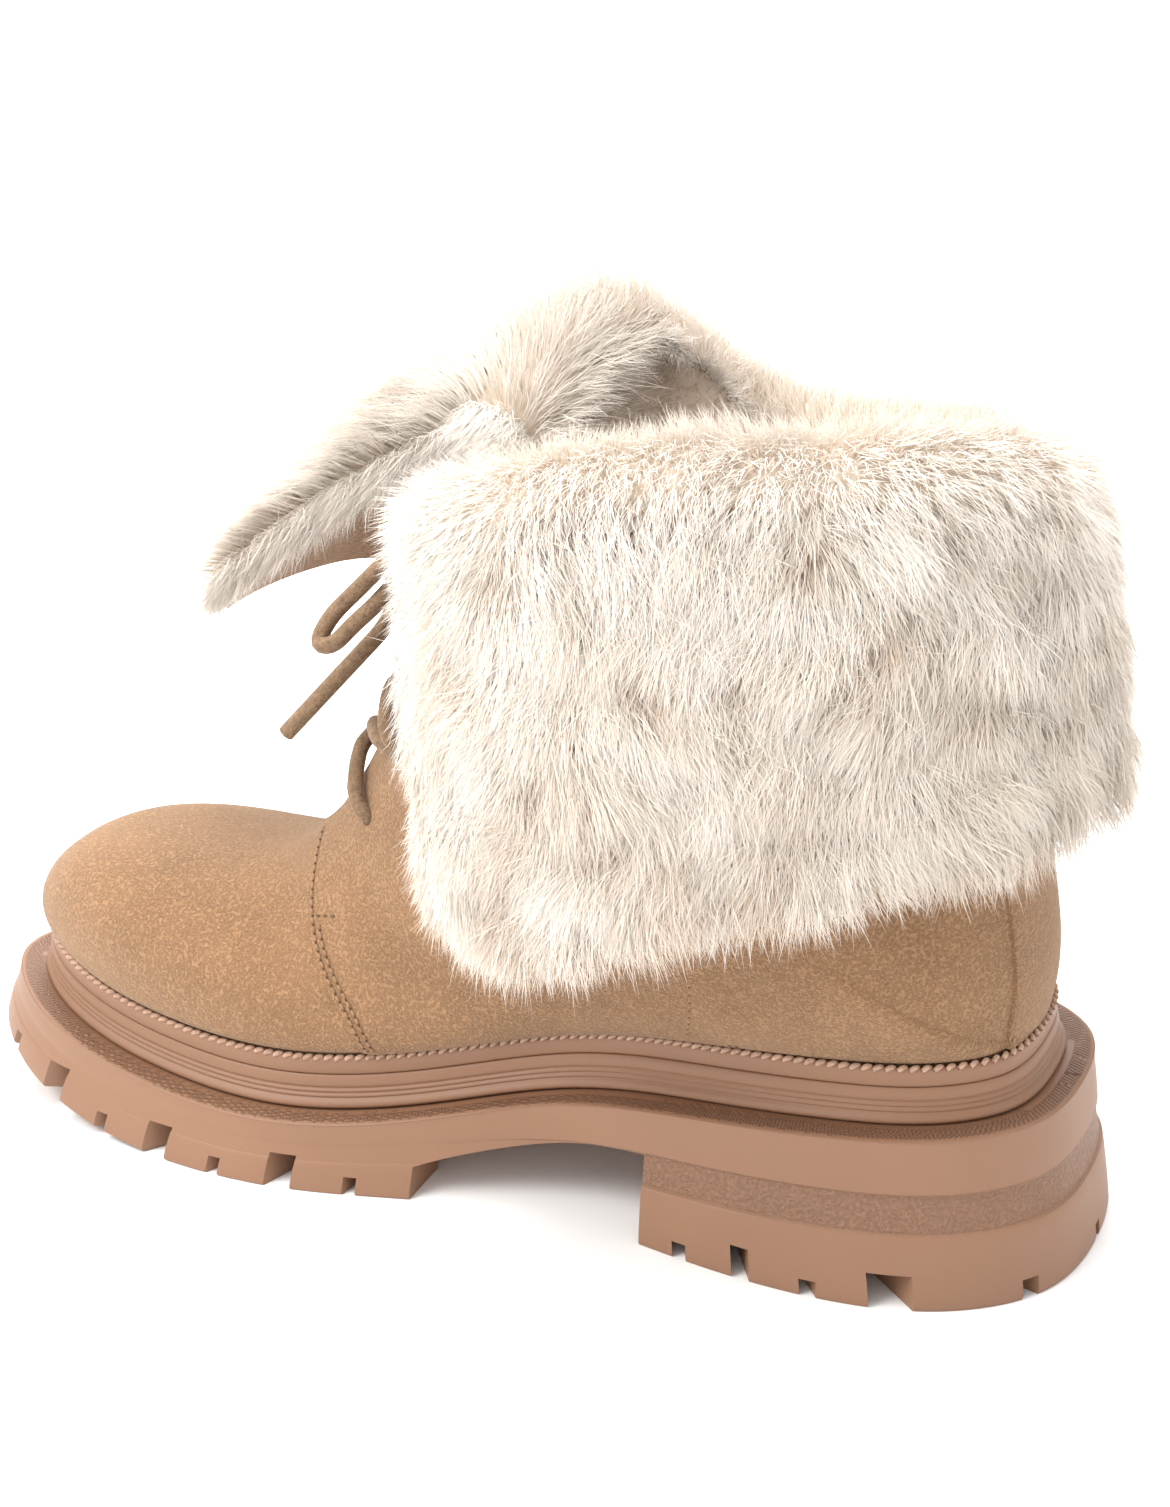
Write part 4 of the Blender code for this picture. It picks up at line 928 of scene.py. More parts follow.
def fibre_group():
    """Felted cord: a mottled colour and a bump height."""
    tree, start, end = new_group(
        "Felted cord",
        [
            ("Light", "NodeSocketColor", (0.40, 0.24, 0.15, 1)),
            ("Dark", "NodeSocketColor", (0.19, 0.10, 0.06, 1)),
        ],
        [("Colour", "NodeSocketColor"), ("Height", "NodeSocketFloat")],
    )
    place = add_node(tree, "ShaderNodeTexCoord")
    fine = noise(tree, place.outputs["Object"], 1900.0, 2.0, 0.6)
    nap = noise(tree, place.outputs["Object"], 600.0, 3.0, 0.6)
    both = weighted_sum(tree, fine, 0.5, nap, 0.5)
    share = spread_range(tree, both, 0.34, 0.66)
    colour = mix_colours(tree, share, start.outputs["Dark"], start.outputs["Light"])
    tree.links.new(colour, end.inputs["Colour"])
    tree.links.new(both, end.inputs["Height"])
    return tree


GROUPS = {}


def group(name, make):
    if name not in GROUPS:
        GROUPS[name] = make()
    return GROUPS[name]


def new_material(name, group_tree, values, roughness, bump=None, sheen=None, masks=()):
    """A material whose colour and bump come from a shared group, with its constants on the shader.

    bump is strength and distance; sheen is weight, roughness and tint.
    """
    look = bpy.data.materials.new(name)
    look.use_nodes = True
    tree = look.node_tree
    shader = tree.nodes["Principled BSDF"]
    shader.inputs["Roughness"].default_value = roughness
    if sheen:
        shader.inputs["Sheen Weight"].default_value = sheen[0]
        shader.inputs["Sheen Roughness"].default_value = sheen[1]
        shader.inputs["Sheen Tint"].default_value = (*sheen[2], 1.0)
    node = tree.nodes.new("ShaderNodeGroup")
    node.node_tree = group_tree
    for key, value in values.items():
        node.inputs[key].default_value = value
    for socket, attribute in masks:
        reader = add_node(tree, "ShaderNodeAttribute", attribute_name=attribute)
        tree.links.new(reader.outputs["Fac"], node.inputs[socket])
    tree.links.new(node.outputs["Colour"], shader.inputs["Base Color"])
    if bump:
        strength, distance = bump
        bumps = add_node(tree, "ShaderNodeBump", {"Strength": strength, "Distance": distance})
        tree.links.new(node.outputs["Height"], bumps.inputs["Height"])
        tree.links.new(bumps.outputs["Normal"], shader.inputs["Normal"])
    return look


def rgba(colour, dim=1.0):
    return (*[part * dim for part in colour], 1.0)


# A dim below 1 gives a darker copy of the suede, as painted shade for pieces that lie in shade.
def suede_material(settings, name="suede", dim=1.0):
    return new_material(
        name,
        group("suede", suede_group),
        {"Light": rgba(settings.suede_light, dim), "Dark": rgba(settings.suede_dark, dim)},
        roughness=0.92,
        bump=(0.75, 0.0005),
        sheen=(0.34, 0.42, (1.0, 0.86, 0.70)),
    )


def rubber_material(settings):
    return new_material(
        "rubber",
        group("rubber", rubber_group),
        {"Colour": rgba(settings.rubber_colour), "Shade": rgba(settings.rubber_colour, 0.55)},
        roughness=0.50,
        bump=(0.60, 0.0005),
        masks=(("Rough mask", "rough"), ("Hatch mask", "hatch")),
    )


def lace_material(settings):
    return new_material(
        "lace",
        group("fibre", fibre_group),
        {"Light": rgba(settings.lace_light), "Dark": rgba(settings.lace_dark)},
        roughness=0.90,
        bump=(0.7, 0.0005),
        sheen=(0.35, 0.4, (1.0, 0.85, 0.72)),
    )


def thread_material(name, light, dark):
    return new_material(
        name,
        group("fibre", fibre_group),
        {"Light": rgba(light), "Dark": rgba(dark)},
        roughness=0.75,
        bump=(0.5, 0.0002),
    )


def fur_material(name, root, middle, tip):
    return new_material(
        name,
        group("fur", fur_group),
        {"Root": rgba(root), "Middle": rgba(middle), "Tip": rgba(tip)},
        roughness=0.80,
        sheen=(0.25, 0.5, (1.0, 0.97, 0.93)),
        masks=(("Shade", "shade"),),
    )


# Upper
def back_seam(rise):
    start = half_plan(1, FEATHER_INSET)[-1]
    foot = float(seat_height(start[0])[0])
    x = start[0] + READ_BACK(rise)[:, 0] * SOLE_LENGTH
    z = foot + (RIM_HEIGHT - foot) * np.asarray(rise)
    return np.column_stack([x, np.zeros_like(x), z])


def upper_surface(row, side, shares):
    """Points of the upper's outer face on one section, from the ridge (0) to its foot (1)."""
    section = dict(zip(SECTION_COLUMNS, READ_SECTIONS(row)[0]))
    seat, widest, crown, base = (section[name] for name in ("seat", "widest", "crown", "base"))
    shares = np.asarray(shares, float)
    ridge = np.array([section[name] for name in ("ridge_x", "ridge_y", "ridge_z")])
    top = ridge * (SOLE_LENGTH, BALL_WIDTH, RIM_HEIGHT)
    if seat <= 1:
        flat = along_half(side, FEATHER_INSET, [seat])[0]
        foot = np.array((*flat, float(seat_height(flat[0])[0])))
    else:
        foot = back_seam([seat - 1])[0]
    width = section["inner" if side > 0 else "outer"] * BALL_WIDTH
    reach = min(abs(foot[1] - top[1]) / width, 0.999)
    closing = (1 - reach**base) ** (1 / base)
    above = np.clip((widest - shares) / widest, 0, 1)
    below = np.clip((shares - widest) / (1 - widest), 0, 1) * closing
    spread = (1 - above**crown) ** (1 / crown) * (1 - below**base) ** (1 / base)
    points = top + (foot - top) * shares[:, None]
    points[:, 1] = top[1] + side * width * spread
    if row < 1e-6:
        points[:] = foot
    return points


def section_line(row, side, count):
    points = upper_surface(row, side, (1 - np.cos(np.linspace(0, np.pi, 240))) / 2)
    run = run_length(points)
    even = np.linspace(0, run[-1], count + 1)
    return np.stack([np.interp(even, run, points[:, axis]) for axis in range(3)], axis=1)


def share_at_offset(row, side, offset):
    shares = np.linspace(0, 0.5, 400)
    across = np.abs(upper_surface(row, side, shares)[:, 1])
    return float(np.interp(offset, across, shares))


def surface_frame(row, side, share):
    """A point of the upper's outer face and the unit vector that stands out from it."""
    step = 0.02
    here = upper_surface(row, side, [share])[0]
    above = upper_surface(row, side, [share - step])[0]
    down = upper_surface(row, side, [min(share + step, 1)])[0] - above
    low, high = max(row - step, 0), min(row + step, LAST_ROW)
    along = upper_surface(high, side, [share])[0] - upper_surface(low, side, [share])[0]
    return here, unit(np.cross(down, along)) * side


def offset_frame(row, side, offset):
    """The same as surface_frame, at a distance across from the middle of the foot."""
    return surface_frame(row, side, share_at_offset(row, side, offset))


def rim_line(x):
    front = SECTIONS[LAST_ROW][0] * SOLE_LENGTH, SECTIONS[LAST_ROW][2] * RIM_HEIGHT
    back = float(back_seam([1.0])[0, 0]), RIM_HEIGHT
    return back[1] + (front[1] - back[1]) * (x - back[0]) / (front[0] - back[0])


def crease_depth(points):
    """How far the soft creases press the suede in, at points in side view."""
    press = np.zeros(len(points))
    for x0, z0, x1, z1, width, depth in CREASES:
        start = np.array((x0, z0))
        run = np.array((x1, z1)) - start
        long = float(np.linalg.norm(run))
        flat = points[:, (0, 2)] - start
        along = np.clip(flat @ run / long**2, 0, 1)
        away = flat - along[:, None] * run
        far = np.linalg.norm(away, axis=1)
        fade = np.exp(-((far / width) ** 2)) - 0.45 * np.exp(-(((far - 1.9 * width) / width) ** 2))
        press += depth * fade * np.sin(np.pi * np.clip(along, 0.08, 0.92))
    return press


UPPER_ROWS = np.concatenate([
    np.linspace(0, 1.5, 16),
    np.linspace(1.5, HEEL_ROW, 92)[1:],
    np.linspace(HEEL_ROW, LAST_ROW, 40)[1:],
])
SIDE_STEPS = 56


def fine_skin():
    """The upper's outer face as a bmesh whose foot goes down behind the rand."""
    drop = np.array((0, 0, RAND_HEIGHT - FIT_GAP))
    shape = bmesh.new()
    for side in (1, -1):
        grid = [section_line(row, side, SIDE_STEPS) for row in UPPER_ROWS]
        verts = [[shape.verts.new(point) for point in line] for line in grid]
        for above, below in zip(verts, verts[1:]):
            for i in range(len(above) - 1):
                shape.faces.new((above[i], above[i + 1], below[i + 1], below[i]))
        edge = [line[-1] for line, row in zip(verts, UPPER_ROWS) if row <= HEEL_ROW]
        lower = [shape.verts.new(np.array(vert.co) - drop) for vert in edge]
        for i in range(len(edge) - 1):
            shape.faces.new((edge[i], edge[i + 1], lower[i + 1], lower[i]))
    bmesh.ops.remove_doubles(shape, verts=shape.verts, dist=1e-5)
    bmesh.ops.recalc_face_normals(shape, faces=shape.faces)
    shape.normal_update()
    points = np.array([vert.co for vert in shape.verts])
    outward = np.array([vert.normal for vert in shape.verts])
    if outward[np.argmax(points[:, 1]), 1] < 0:
        bmesh.ops.reverse_faces(shape, faces=shape.faces)
        shape.normal_update()
        outward = -outward
    press = crease_depth(points)
    for vert, spot, out, depth in zip(shape.verts, points, outward, press):
        vert.co = spot - out * depth
    shape.normal_update()
    return shape


def skin_layer(skin, high, low):
    """A closed wall between two offsets of the skin, as points and faces."""
    shape = skin.copy()
    outer = np.array([vert.co for vert in shape.verts])
    normals = np.array([vert.normal for vert in shape.verts])
    shape.verts.index_update()
    count = len(outer)
    faces = [tuple(vert.index for vert in face.verts) for face in shape.faces]
    rims = [tuple(vert.index for vert in edge.verts) for edge in shape.edges if edge.is_boundary]
    verts = np.concatenate([outer + normals * high, outer + normals * low])
    faces = faces + [tuple(i + count for i in reversed(face)) for face in faces]
    faces += [(a, b, b + count, a + count) for a, b in rims]
    shape.free()
    return verts, faces


def slit_shape(foot_height, gap):
    arc = [math.pi * (1 + k / 16) for k in range(17)]
    outline = [(gap * math.cos(a), foot_height + gap + gap * math.sin(a)) for a in arc]
    outline += [(gap, RIM_HEIGHT * 1.2), (-gap, RIM_HEIGHT * 1.2)]
    return prism_shape(outline, SOLE_LENGTH * 0.40, SOLE_LENGTH * 0.80, 0)


def quarter_edge_line(setback=0.0, count=60):
    """The quarters' front edge in side view, moved back by a distance."""
    read = natural_spline([row[1] for row in QUARTER_EDGE], [[row[0]] for row in QUARTER_EDGE])
    heights = np.linspace(QUARTER_EDGE[0][1], QUARTER_EDGE[-1][1], count)
    line = np.column_stack([read(heights)[:, 0] * SOLE_LENGTH, heights * RIM_HEIGHT])
    heading = unit(np.gradient(line, axis=0))
    back = np.column_stack([-heading[:, 1], heading[:, 0]])
    return line + back * setback


def quarter_shape():
    edge = quarter_edge_line()
    foot_x = np.linspace(BEHIND_HEEL, edge[0][0], 60)
    foot = [(x, float(seat_height(max(x, 0))[0]) + QUARTER_FOOT_GAP) for x in foot_x]
    edge = [tuple(point) for point in edge if point[1] > foot[-1][1] + 0.0002]
    ends = [(x, rim_line(x) - FIT_GAP) for x in (edge[-1][0], BEHIND_HEEL)]
    return prism_shape(foot + edge + ends, -BALL_WIDTH, BALL_WIDTH, 1)


def eyelet_rows():
    rows = np.linspace(7, LAST_ROW, 200)
    heights = [offset_frame(row, 1, EYELET_OFFSET)[0][2] for row in rows]
    return np.interp(np.linspace(EYELET_LOWEST, EYELET_HIGHEST, EYELET_PAIRS), heights, rows)


def eyelet_places():
    """Middle and outward direction of every eyelet."""
    places = []
    for row in eyelet_rows():
        for side in (1, -1):
            places.append(offset_frame(row, side, EYELET_OFFSET))
    return places


def eyelet_shapes():
    shapes = []
    for here, out in eyelet_places():
        line = [here + out * depth for depth in (-0.006, 0.0, 0.006)]
        shapes.append(tube_shape(line, EYELET_RADIUS * 0.92, 20))
    return join_shapes(shapes)


def build_upper(settings):
    suede = suede_material(settings)
    skin = fine_skin()
    vamp = add_mesh("upper_vamp", *skin_layer(skin, 0.0, -UPPER_WALL), suede)
    quarters = add_mesh("upper_quarters", *skin_layer(skin, QUARTER_STEP, -UPPER_WALL / 2), suede)
    stay_layer = skin_layer(skin, QUARTER_STEP + BACKSTAY_STEP, -UPPER_WALL / 3)
    stay = add_mesh("upper_backstay", *stay_layer, suede)
    outer = skin_layer(skin, QUARTER_STEP, -UPPER_WALL / 2)
    skin.free()
    for piece in (vamp, quarters, stay):
        weld_and_face_out(piece, WELD)

    gap = THROAT_HALF_GAP
    holes = eyelet_shapes()
    slit = add_cutter("vamp_slit", *slit_shape(VAMP_TOP_HEIGHT, gap + FIT_GAP))
    apply_cuts(vamp, [(slit, "DIFFERENCE"), (add_cutter("vamp_holes", *holes), "DIFFERENCE")])
    region = add_cutter("quarter_region", *quarter_shape())
    slit = add_cutter("quarter_slit", *slit_shape(THROAT_HEIGHT, gap))
    holes = add_cutter("quarter_holes", *holes)
    apply_cuts(quarters, [(region, "INTERSECT"), (slit, "DIFFERENCE"), (holes, "DIFFERENCE")])
    half = BACKSTAY_WIDTH / 2
    foot = float(seat_height(0.02)[0]) + QUARTER_FOOT_GAP
    high = rim_line(HEEL_CENTRE) - 2 * FIT_GAP
    strip = [(-half, foot), (half, foot), (half * 0.8, high), (-half * 0.8, high)]
    region = add_cutter("stay_region", *prism_shape(strip, BEHIND_HEEL, HEEL_CENTRE, 0))
    apply_cuts(stay, [(region, "INTERSECT")])
    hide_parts("upper")
    return outer


def tongue_shape():
    rows = np.linspace(*TONGUE_ROWS, 44)
    steps = np.concatenate([np.linspace(1, 0.08, 9), np.linspace(0.08, 1, 9)])
    sides = [1] * 9 + [-1] * 9
    grid = []
    for row in rows:
        line = []
        for side, step in zip(sides, steps):
            here, out = offset_frame(row, side, step * TONGUE_HALF_WIDTH)
            sag = UPPER_WALL + SEAM_GAP * 2.8
            edge = 1 - 0.5 * max(step - 0.8, 0) / 0.2
            line.append((here - out * sag, here - out * (sag + TONGUE_THICKNESS * edge)))
        grid.append(line)
    top = np.array([[pair[0] for pair in line] for line in grid])
    low = np.array([[pair[1] for pair in line] for line in grid])
    rounds = np.concatenate([top, low[:, ::-1]], axis=1)
    return rounds.reshape(-1, 3), capped_faces(len(rows), 2 * len(steps))


# Sole
def mark_sole(obj):
    """Where the outsole is grained or hatched, and how far each point is round and down its wall."""
    mesh = obj.data
    count = len(mesh.vertices)
    points = np.empty(count * 3, np.float32)
    mesh.vertices.foreach_get("co", points)
    points = points.reshape(-1, 3) + (HEEL_CENTRE, 0, 0)
    x = points[:, 0]
    top = ledge_height(x)
    drop = (top - points[:, 2]) / np.maximum(top - ground_height(x), 0.001)
    steps = PLAN_CURVE[::2]
    run = run_length(steps)
    nearest = np.empty(count, int)
    batch = 4000
    for start in range(0, count, batch):
        part = points[start : start + batch, None, :2] - steps[None]
        nearest[start : start + batch] = (part**2).sum(axis=2).argmin(axis=1)
    inset = np.linalg.norm(points[:, :2] - steps[nearest], axis=1)
    high, low = GRAIN_BAND
    band = np.clip((drop - high) / 0.01, 0, 1) * np.clip((low - drop) / 0.008, 0, 1)
    first, last = HATCH_BAND
    flat = np.clip(1 - np.abs(points[:, 2] - top) / 0.0005, 0, 1) * (inset > first) * (inset < last)
    for name, values in (("rough", band * heel_share(x) ** 2), ("hatch", flat)):
        attribute = mesh.attributes.new(name, "FLOAT", "POINT")
        attribute.data.foreach_set("value", values.astype(np.float32))
    layer = mesh.uv_layers.new(name="along")
    corners = np.empty(len(mesh.loops), np.int32)
    mesh.loops.foreach_get("vertex_index", corners)
    uv = np.column_stack([run[nearest], inset])[corners]
    layer.data.foreach_set("uv", uv.astype(np.float32).ravel())


def ring_stack(rings):
    """Points and faces of closed rings joined one below the other, flat across at both ends."""
    rings = np.array(rings)
    count = rings.shape[1]
    half = count // 2
    faces = grid_faces(len(rings), count, closed=True)
    for level in (0, len(rings) - 1):
        start = level * count
        faces.append((start, start + 1, start + count - 1))
        faces.append((start + half - 1, start + half, start + half + 1))
        for k in range(1, half - 1):
            faces.append(tuple(start + i for i in (k, k + 1, count - k - 1, count - k)))
    return rings.reshape(-1, 3), faces


def ring_round(rings):
    """Points and faces of closed rings joined one to the next and the last to the first."""
    count = len(rings[0])
    last = (len(rings) - 1) * count
    faces = grid_faces(len(rings), count, closed=True)
    faces += [(last + j, last + (j + 1) % count, (j + 1) % count, j) for j in range(count)]
    return np.concatenate(rings), faces


def notch_shapes():
    shapes = []
    shares = np.linspace(0, 1, 2000)
    outer_end = -2 * WALL_FLARE
    inner_end = CHANNEL_INSET + CHANNEL_WIDTH / 2
    middle = (outer_end + inner_end) / 2
    reach = inner_end - outer_end
    for side in (1, -1):
        edge = along_half(side, 0.0, shares)
        inward = unit(along_half(side, 0.001, shares) - edge)
        tread = [TREAD_REAR + LUG_PITCH * (k + FIRST_LUG_SHARE) for k in range(7)]
        places = [(x, BIG_NOTCH if k % 2 else SMALL_NOTCH) for k, x in enumerate(tread)]
        places += [(HEEL_BREAST - behind, (width, depth)) for behind, width, depth in HEEL_NOTCHES]
        for x, (width, depth) in places:
            i = int(np.argmin(np.abs(edge[:, 0] - x)))
            top = float(ground_height(x)) + depth
            centre = edge[i] + inward[i] * middle
            shapes.append(box_shape(centre, inward[i], reach, width, BELOW_FLOOR, top))
    width, depth = SMALL_NOTCH
    shapes.append(box_shape((middle, 0.0), (1, 0), reach, width, BELOW_FLOOR, depth))
    return join_shapes(shapes)


def bar_shapes():
    shapes = []
    shares = np.linspace(0, 1, 2000)
    inset = CHANNEL_INSET + CHANNEL_WIDTH / 2
    halves = [along_half(side, inset, shares) for side in (1, -1)]
    places = [TREAD_REAR + LUG_PITCH * (k + FIRST_LUG_SHARE) for k in range(6)]
    places += [HEEL_BREAST - row[0] for row in HEEL_NOTCHES[:4]]
    for x in places:
        left, right = (float(half[np.argmin(np.abs(half[:, 0] - x)), 1]) for half in halves)
        top = float(ground_height(x)) + BAR_DEPTH
        centre = (x, (left + right) / 2)
        shapes.append(box_shape(centre, (0, 1), left - right, BAR_WIDTH, BELOW_FLOOR, top))
    return join_shapes(shapes)


def channel_shape():
    outer = CHANNEL_INSET
    inner = outer + CHANNEL_WIDTH
    top = lambda x: ground_height(x) + CHANNEL_DEPTH
    low = lambda x: np.full_like(x, BELOW_FLOOR)
    corners = ((outer, top), (outer, low), (inner, low), (inner, top))
    return ring_round([loop_ring(inset, height) for inset, height in corners])


def build_sole(settings):
    rubber = rubber_material(settings)
    rings = []
    for inset, low in LEDGE_PROFILE:
        rings.append(loop_ring(inset, lambda x, low=low: ledge_height(x) - low))
    for drop, flare, recess in WALL_PROFILE:
        inset = lambda x, f=flare, r=recess: r * HEEL_BAND_RECESS * heel_share(x) - f * WALL_FLARE
        height = lambda x, d=drop: ledge_height(x) + (ground_height(x) - ledge_height(x)) * d
        rings.append(loop_ring(inset, height, from_edge=True))
    outsole = add_mesh("outsole_wall", *ring_stack(rings), rubber)
    weld_and_face_out(outsole, WELD)
    shares = np.linspace(0, 1, 40)
    arch_x = TREAD_REAR + (HEEL_BREAST - TREAD_REAR) * shares
    arch_z = READ_ARCH(shares)[:, 0] * HEEL_RISE
    below = [(HEEL_BREAST, BELOW_FLOOR), (TREAD_REAR + 0.001, BELOW_FLOOR)]
    arch = prism_shape(list(zip(arch_x, arch_z)) + below, -BALL_WIDTH, BALL_WIDTH, 1)
    steps = [
        (add_cutter("waist_cut", *arch), "DIFFERENCE"),
        (add_cutter("channel_cut", *channel_shape()), "DIFFERENCE"),
        (add_cutter("notch_cut", *notch_shapes()), "DIFFERENCE"),
        (add_cutter("bar_cut", *bar_shapes()), "DIFFERENCE"),
    ]
    apply_cuts(outsole, steps, 24)
    mark_sole(outsole)
    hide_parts("outsole")

    room = RAND_INSET - LEDGE_WIDTH
    rings = []
    for depth, spread in MIDSOLE_PROFILE:
        low = depth * MIDSOLE_HEIGHT
        rings.append(loop_ring(RAND_INSET - spread * room, lambda x, low=low: midsole_top(x) - low))
    midsole = add_mesh("midsole_ribs", *ring_stack(rings), rubber)
    weld_and_face_out(midsole, WELD)
    midsole.data.shade_smooth()
    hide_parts("midsole")

    outer, inner = RAND_INSET, RAND_INSET + RAND_THICKNESS
    base = RAND_HEIGHT - FIT_GAP
    profile = [
        (outer + 0.0001, base),
        (outer, base * 0.9),
        (outer, 0.0012),
        (outer + 0.00008, 0.0006),
        (outer + 0.0003, 0.0002),
        (outer + 0.0007, 0.0),
        (inner - 0.0005, 0.0),
        (inner - 0.0001, 0.0002),
        (inner, 0.0006),
        (inner, base),
    ]
    rings = [loop_ring(inset, lambda x, low=low: seat_height(x) - low) for inset, low in profile]
    rand = add_mesh("rand_strip", *ring_round(rings), rubber)
    weld_and_face_out(rand, WELD)
    rand.data.shade_smooth()
    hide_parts("rand")


# Stitches
def stitch_template(sides=6):
    """A short thread of unit length along x that dips at both ends."""
    places = [(-0.50, 0.35, -0.55), (-0.42, 0.80, -0.20), (-0.20, 1.0, 0.05), (0.0, 1.0, 0.12)]
    places += [(-a, b, c) for a, b, c in reversed(places[:-1])]
    angles = math.tau * np.arange(sides) / sides
    rings = []
    for along, size, lift in places:
        across = np.cos(angles) * size
        up = np.sin(angles) * size + lift
        rings.append(np.column_stack([np.full(sides, along), across, up]))
    return np.concatenate(rings), capped_faces(len(places), sides)


def stitches(name, runs, length, width, look, slant=0.0):
    """One mesh of stitches laid at points along runs of points and outward directions."""
    template, template_faces = stitch_template()
    all_points = []
    for points, outs in runs:
        heading = unit(np.gradient(points, axis=0))
        middle = (points[:-1] + points[1:]) / 2
        ahead = unit(heading[:-1] + heading[1:])
        out = unit(outs[:-1] + outs[1:])
        across = unit(np.cross(out, ahead))
        turned = ahead * math.cos(slant) + across * math.sin(slant)
        side = np.cross(out, turned)
        local = template * (length, width / 2, width / 2)
        body = (
            middle[:, None]
            + turned[:, None] * local[None, :, :1]
            + side[:, None] * local[None, :, 1:2]
            + out[:, None] * local[None, :, 2:]
        )
        all_points.append(body.reshape(-1, 3))
    points = np.concatenate(all_points)
    count = len(points) // len(template)
    faces = []
    for k in range(count):
        start = k * len(template)
        faces.extend([tuple(i + start for i in face) for face in template_faces])
    return add_mesh(name, points, faces, look)


def even_stitches(points, outs, pitch):
    """Points and directions resampled at an even pitch along the line."""
    points = np.asarray(points)
    run = run_length(points)
    at = np.linspace(0, run[-1], max(3, int(round(run[-1] / pitch)) + 1))
    both = np.column_stack([np.interp(at, run, column) for column in np.column_stack([points, outs]).T])
    return both[:, :3], unit(both[:, 3:])


def cast_run(tree, flat, side, pitch, lift):
    """Places a line that is known in side view on the boot's surface, with outward directions."""
    points = []
    outs = []
    for x, z in even_points(np.asarray(flat), pitch / 3):
        hit, normal, _, _ = tree.ray_cast(Vector((x, side * 0.2, z)), Vector((0, -side, 0)))
        if hit is None:
            continue
        normal = np.array(normal)
        if normal[1] * side < 0:
            normal = -normal
        points.append(np.array(hit) + normal * lift)
        outs.append(normal)
    if len(points) < 4:
        raise RuntimeError("a stitch line missed the upper")
    return even_stitches(points, outs, pitch)


def build_stitches(settings, outer):
    verts, faces = outer
    tree = BVHTree.FromPolygons([tuple(point) for point in verts], faces)
    thread = thread_material("thread", *THREAD)
    pitch = settings.stitch_pitch
    runs = []
    tacks = []
    for side in (1, -1):
        for setback, high in QUARTER_ROWS:
            line = quarter_edge_line(setback)
            floor = seat_height(line[:, 0]) + 0.0012
            line = line[(line[:, 1] > floor) & (line[:, 1] < high)]
            runs.append(cast_run(tree, line, side, pitch, 0.00016))
        tacks.append(cast_run(tree, BAR_TACK, side, 0.0020, 0.00006))
        runs.append(cast_run(tree, ANKLE_SEAM, side, pitch * 1.1, -0.00012))
        tacks.append(cast_run(tree, ANKLE_NICK, side, pitch * 0.8, -0.0001))
    rows = stitches("quarter_stitches", runs, pitch * 0.68, 0.00078, thread, 0.18)
    dark = thread_material("bar_tack_thread_and_hole_shade", *TACK_THREAD_AND_HOLE_SHADE)
    rows = stitches("bar_tacks", tacks, 0.0012, 0.00060, dark)
    # Short dark threads in the gaps between stitches: painted shade in the needle holes.
    holes = [((points[:-1] + points[1:]) / 2, unit(outs[:-1] + outs[1:])) for points, outs in runs]
    rows = stitches("stitch_holes", holes, pitch * 0.22, 0.00066, dark)

    half = BACKSTAY_WIDTH / 2 - 0.0016
    runs = []
    for sign in (1, -1):
        foot = float(seat_height(0.0)[0]) + 0.001
        heights = np.linspace(foot, RIM_HEIGHT * 0.94, 160)
        points = []
        outs = []
        for z in heights:
            y = sign * half * (1 - 0.2 * (z - foot) / (RIM_HEIGHT - foot))
            hit, normal, _, _ = tree.ray_cast(Vector((-0.1, y, z)), Vector((1, 0, 0)))
            if hit is None:
                continue
            normal = np.array(normal)
            if normal[0] > 0:
                normal = -normal
            points.append(np.array(hit) + normal * (BACKSTAY_STEP - 0.00005))
            outs.append(normal)
        runs.append(even_stitches(points, outs, pitch))
    rows = stitches("backstay_stitches", runs, pitch * 0.66, 0.00070, thread)

    welt_thread = thread_material("welt_thread", *WELT_THREAD)
    ring = loop_ring(RAND_INSET + 0.0007, lambda x: seat_height(x) + 0.0001)
    ring = even_points(np.concatenate([ring, ring[:1]]), settings.welt_pitch)
    outs = np.tile((0.0, 0.0, 1.0), (len(ring), 1))
    rows = stitches("welt_stitches", [(ring, outs)], settings.welt_pitch * 1.05, 0.0013, welt_thread, 0.62)


# Lace
def lace_height(across):
    on_quarter = QUARTER_STEP + FIT_GAP * 2 + LACE_DIAMETER / 2
    share = min(abs(across) / (THROAT_HALF_GAP - LACE_DIAMETER / 2), 1.0)
    return on_quarter * (0.35 + 0.65 * share * share * (3 - 2 * share))


def lace_point(row, across, extra=0.0):
    side = 1 if across >= 0 else -1
    here, out = offset_frame(row, side, abs(across))
    return here + out * (lace_height(across) + extra)


def knot_place():
    here, out = surface_frame(KNOT_ROW, 1, 0.0005)
    out = unit(np.array((out[0], 0.0, out[2])))
    height = lace_height(0) + LACE_DIAMETER * 0.4 + KNOT_SIZE[0] / 2
    return here * (1, 0, 1) + out * height, out


def beside_knot(direction):
    place, out = knot_place()
    direction = unit(np.array(direction))
    up = np.cross(out, (0.0, 1.0, 0.0))
    axes = np.array([np.dot(direction, out), direction[1], np.dot(direction, up)])
    reach = 1 / np.linalg.norm(axes / (np.array(KNOT_SIZE) / 2))
    return place + direction * (reach + 2 * FIT_GAP)


def through_eyelet(row, side):
    """The lace's way from behind an eyelet to its mouth."""
    here, out = offset_frame(row, side, EYELET_OFFSET)
    return [here - out * 0.0030, here + out * 0.0002]


def lace_stretch(low, high, side, over):
    """The lace from inside one eyelet, across the throat and into the next pair's eyelet."""
    points = through_eyelet(low, side)
    for t in np.linspace(0.10, 0.90, 15):
        row = low + (high - low) * t
        across = side * EYELET_OFFSET * (1 - 2 * t)
        hump = over * math.exp(-(((t - 0.5) / 0.16) ** 2))
        points.append(lace_point(row, across, hump))
    points += through_eyelet(high, -side)[::-1]
    return smooth_line(points, 56)


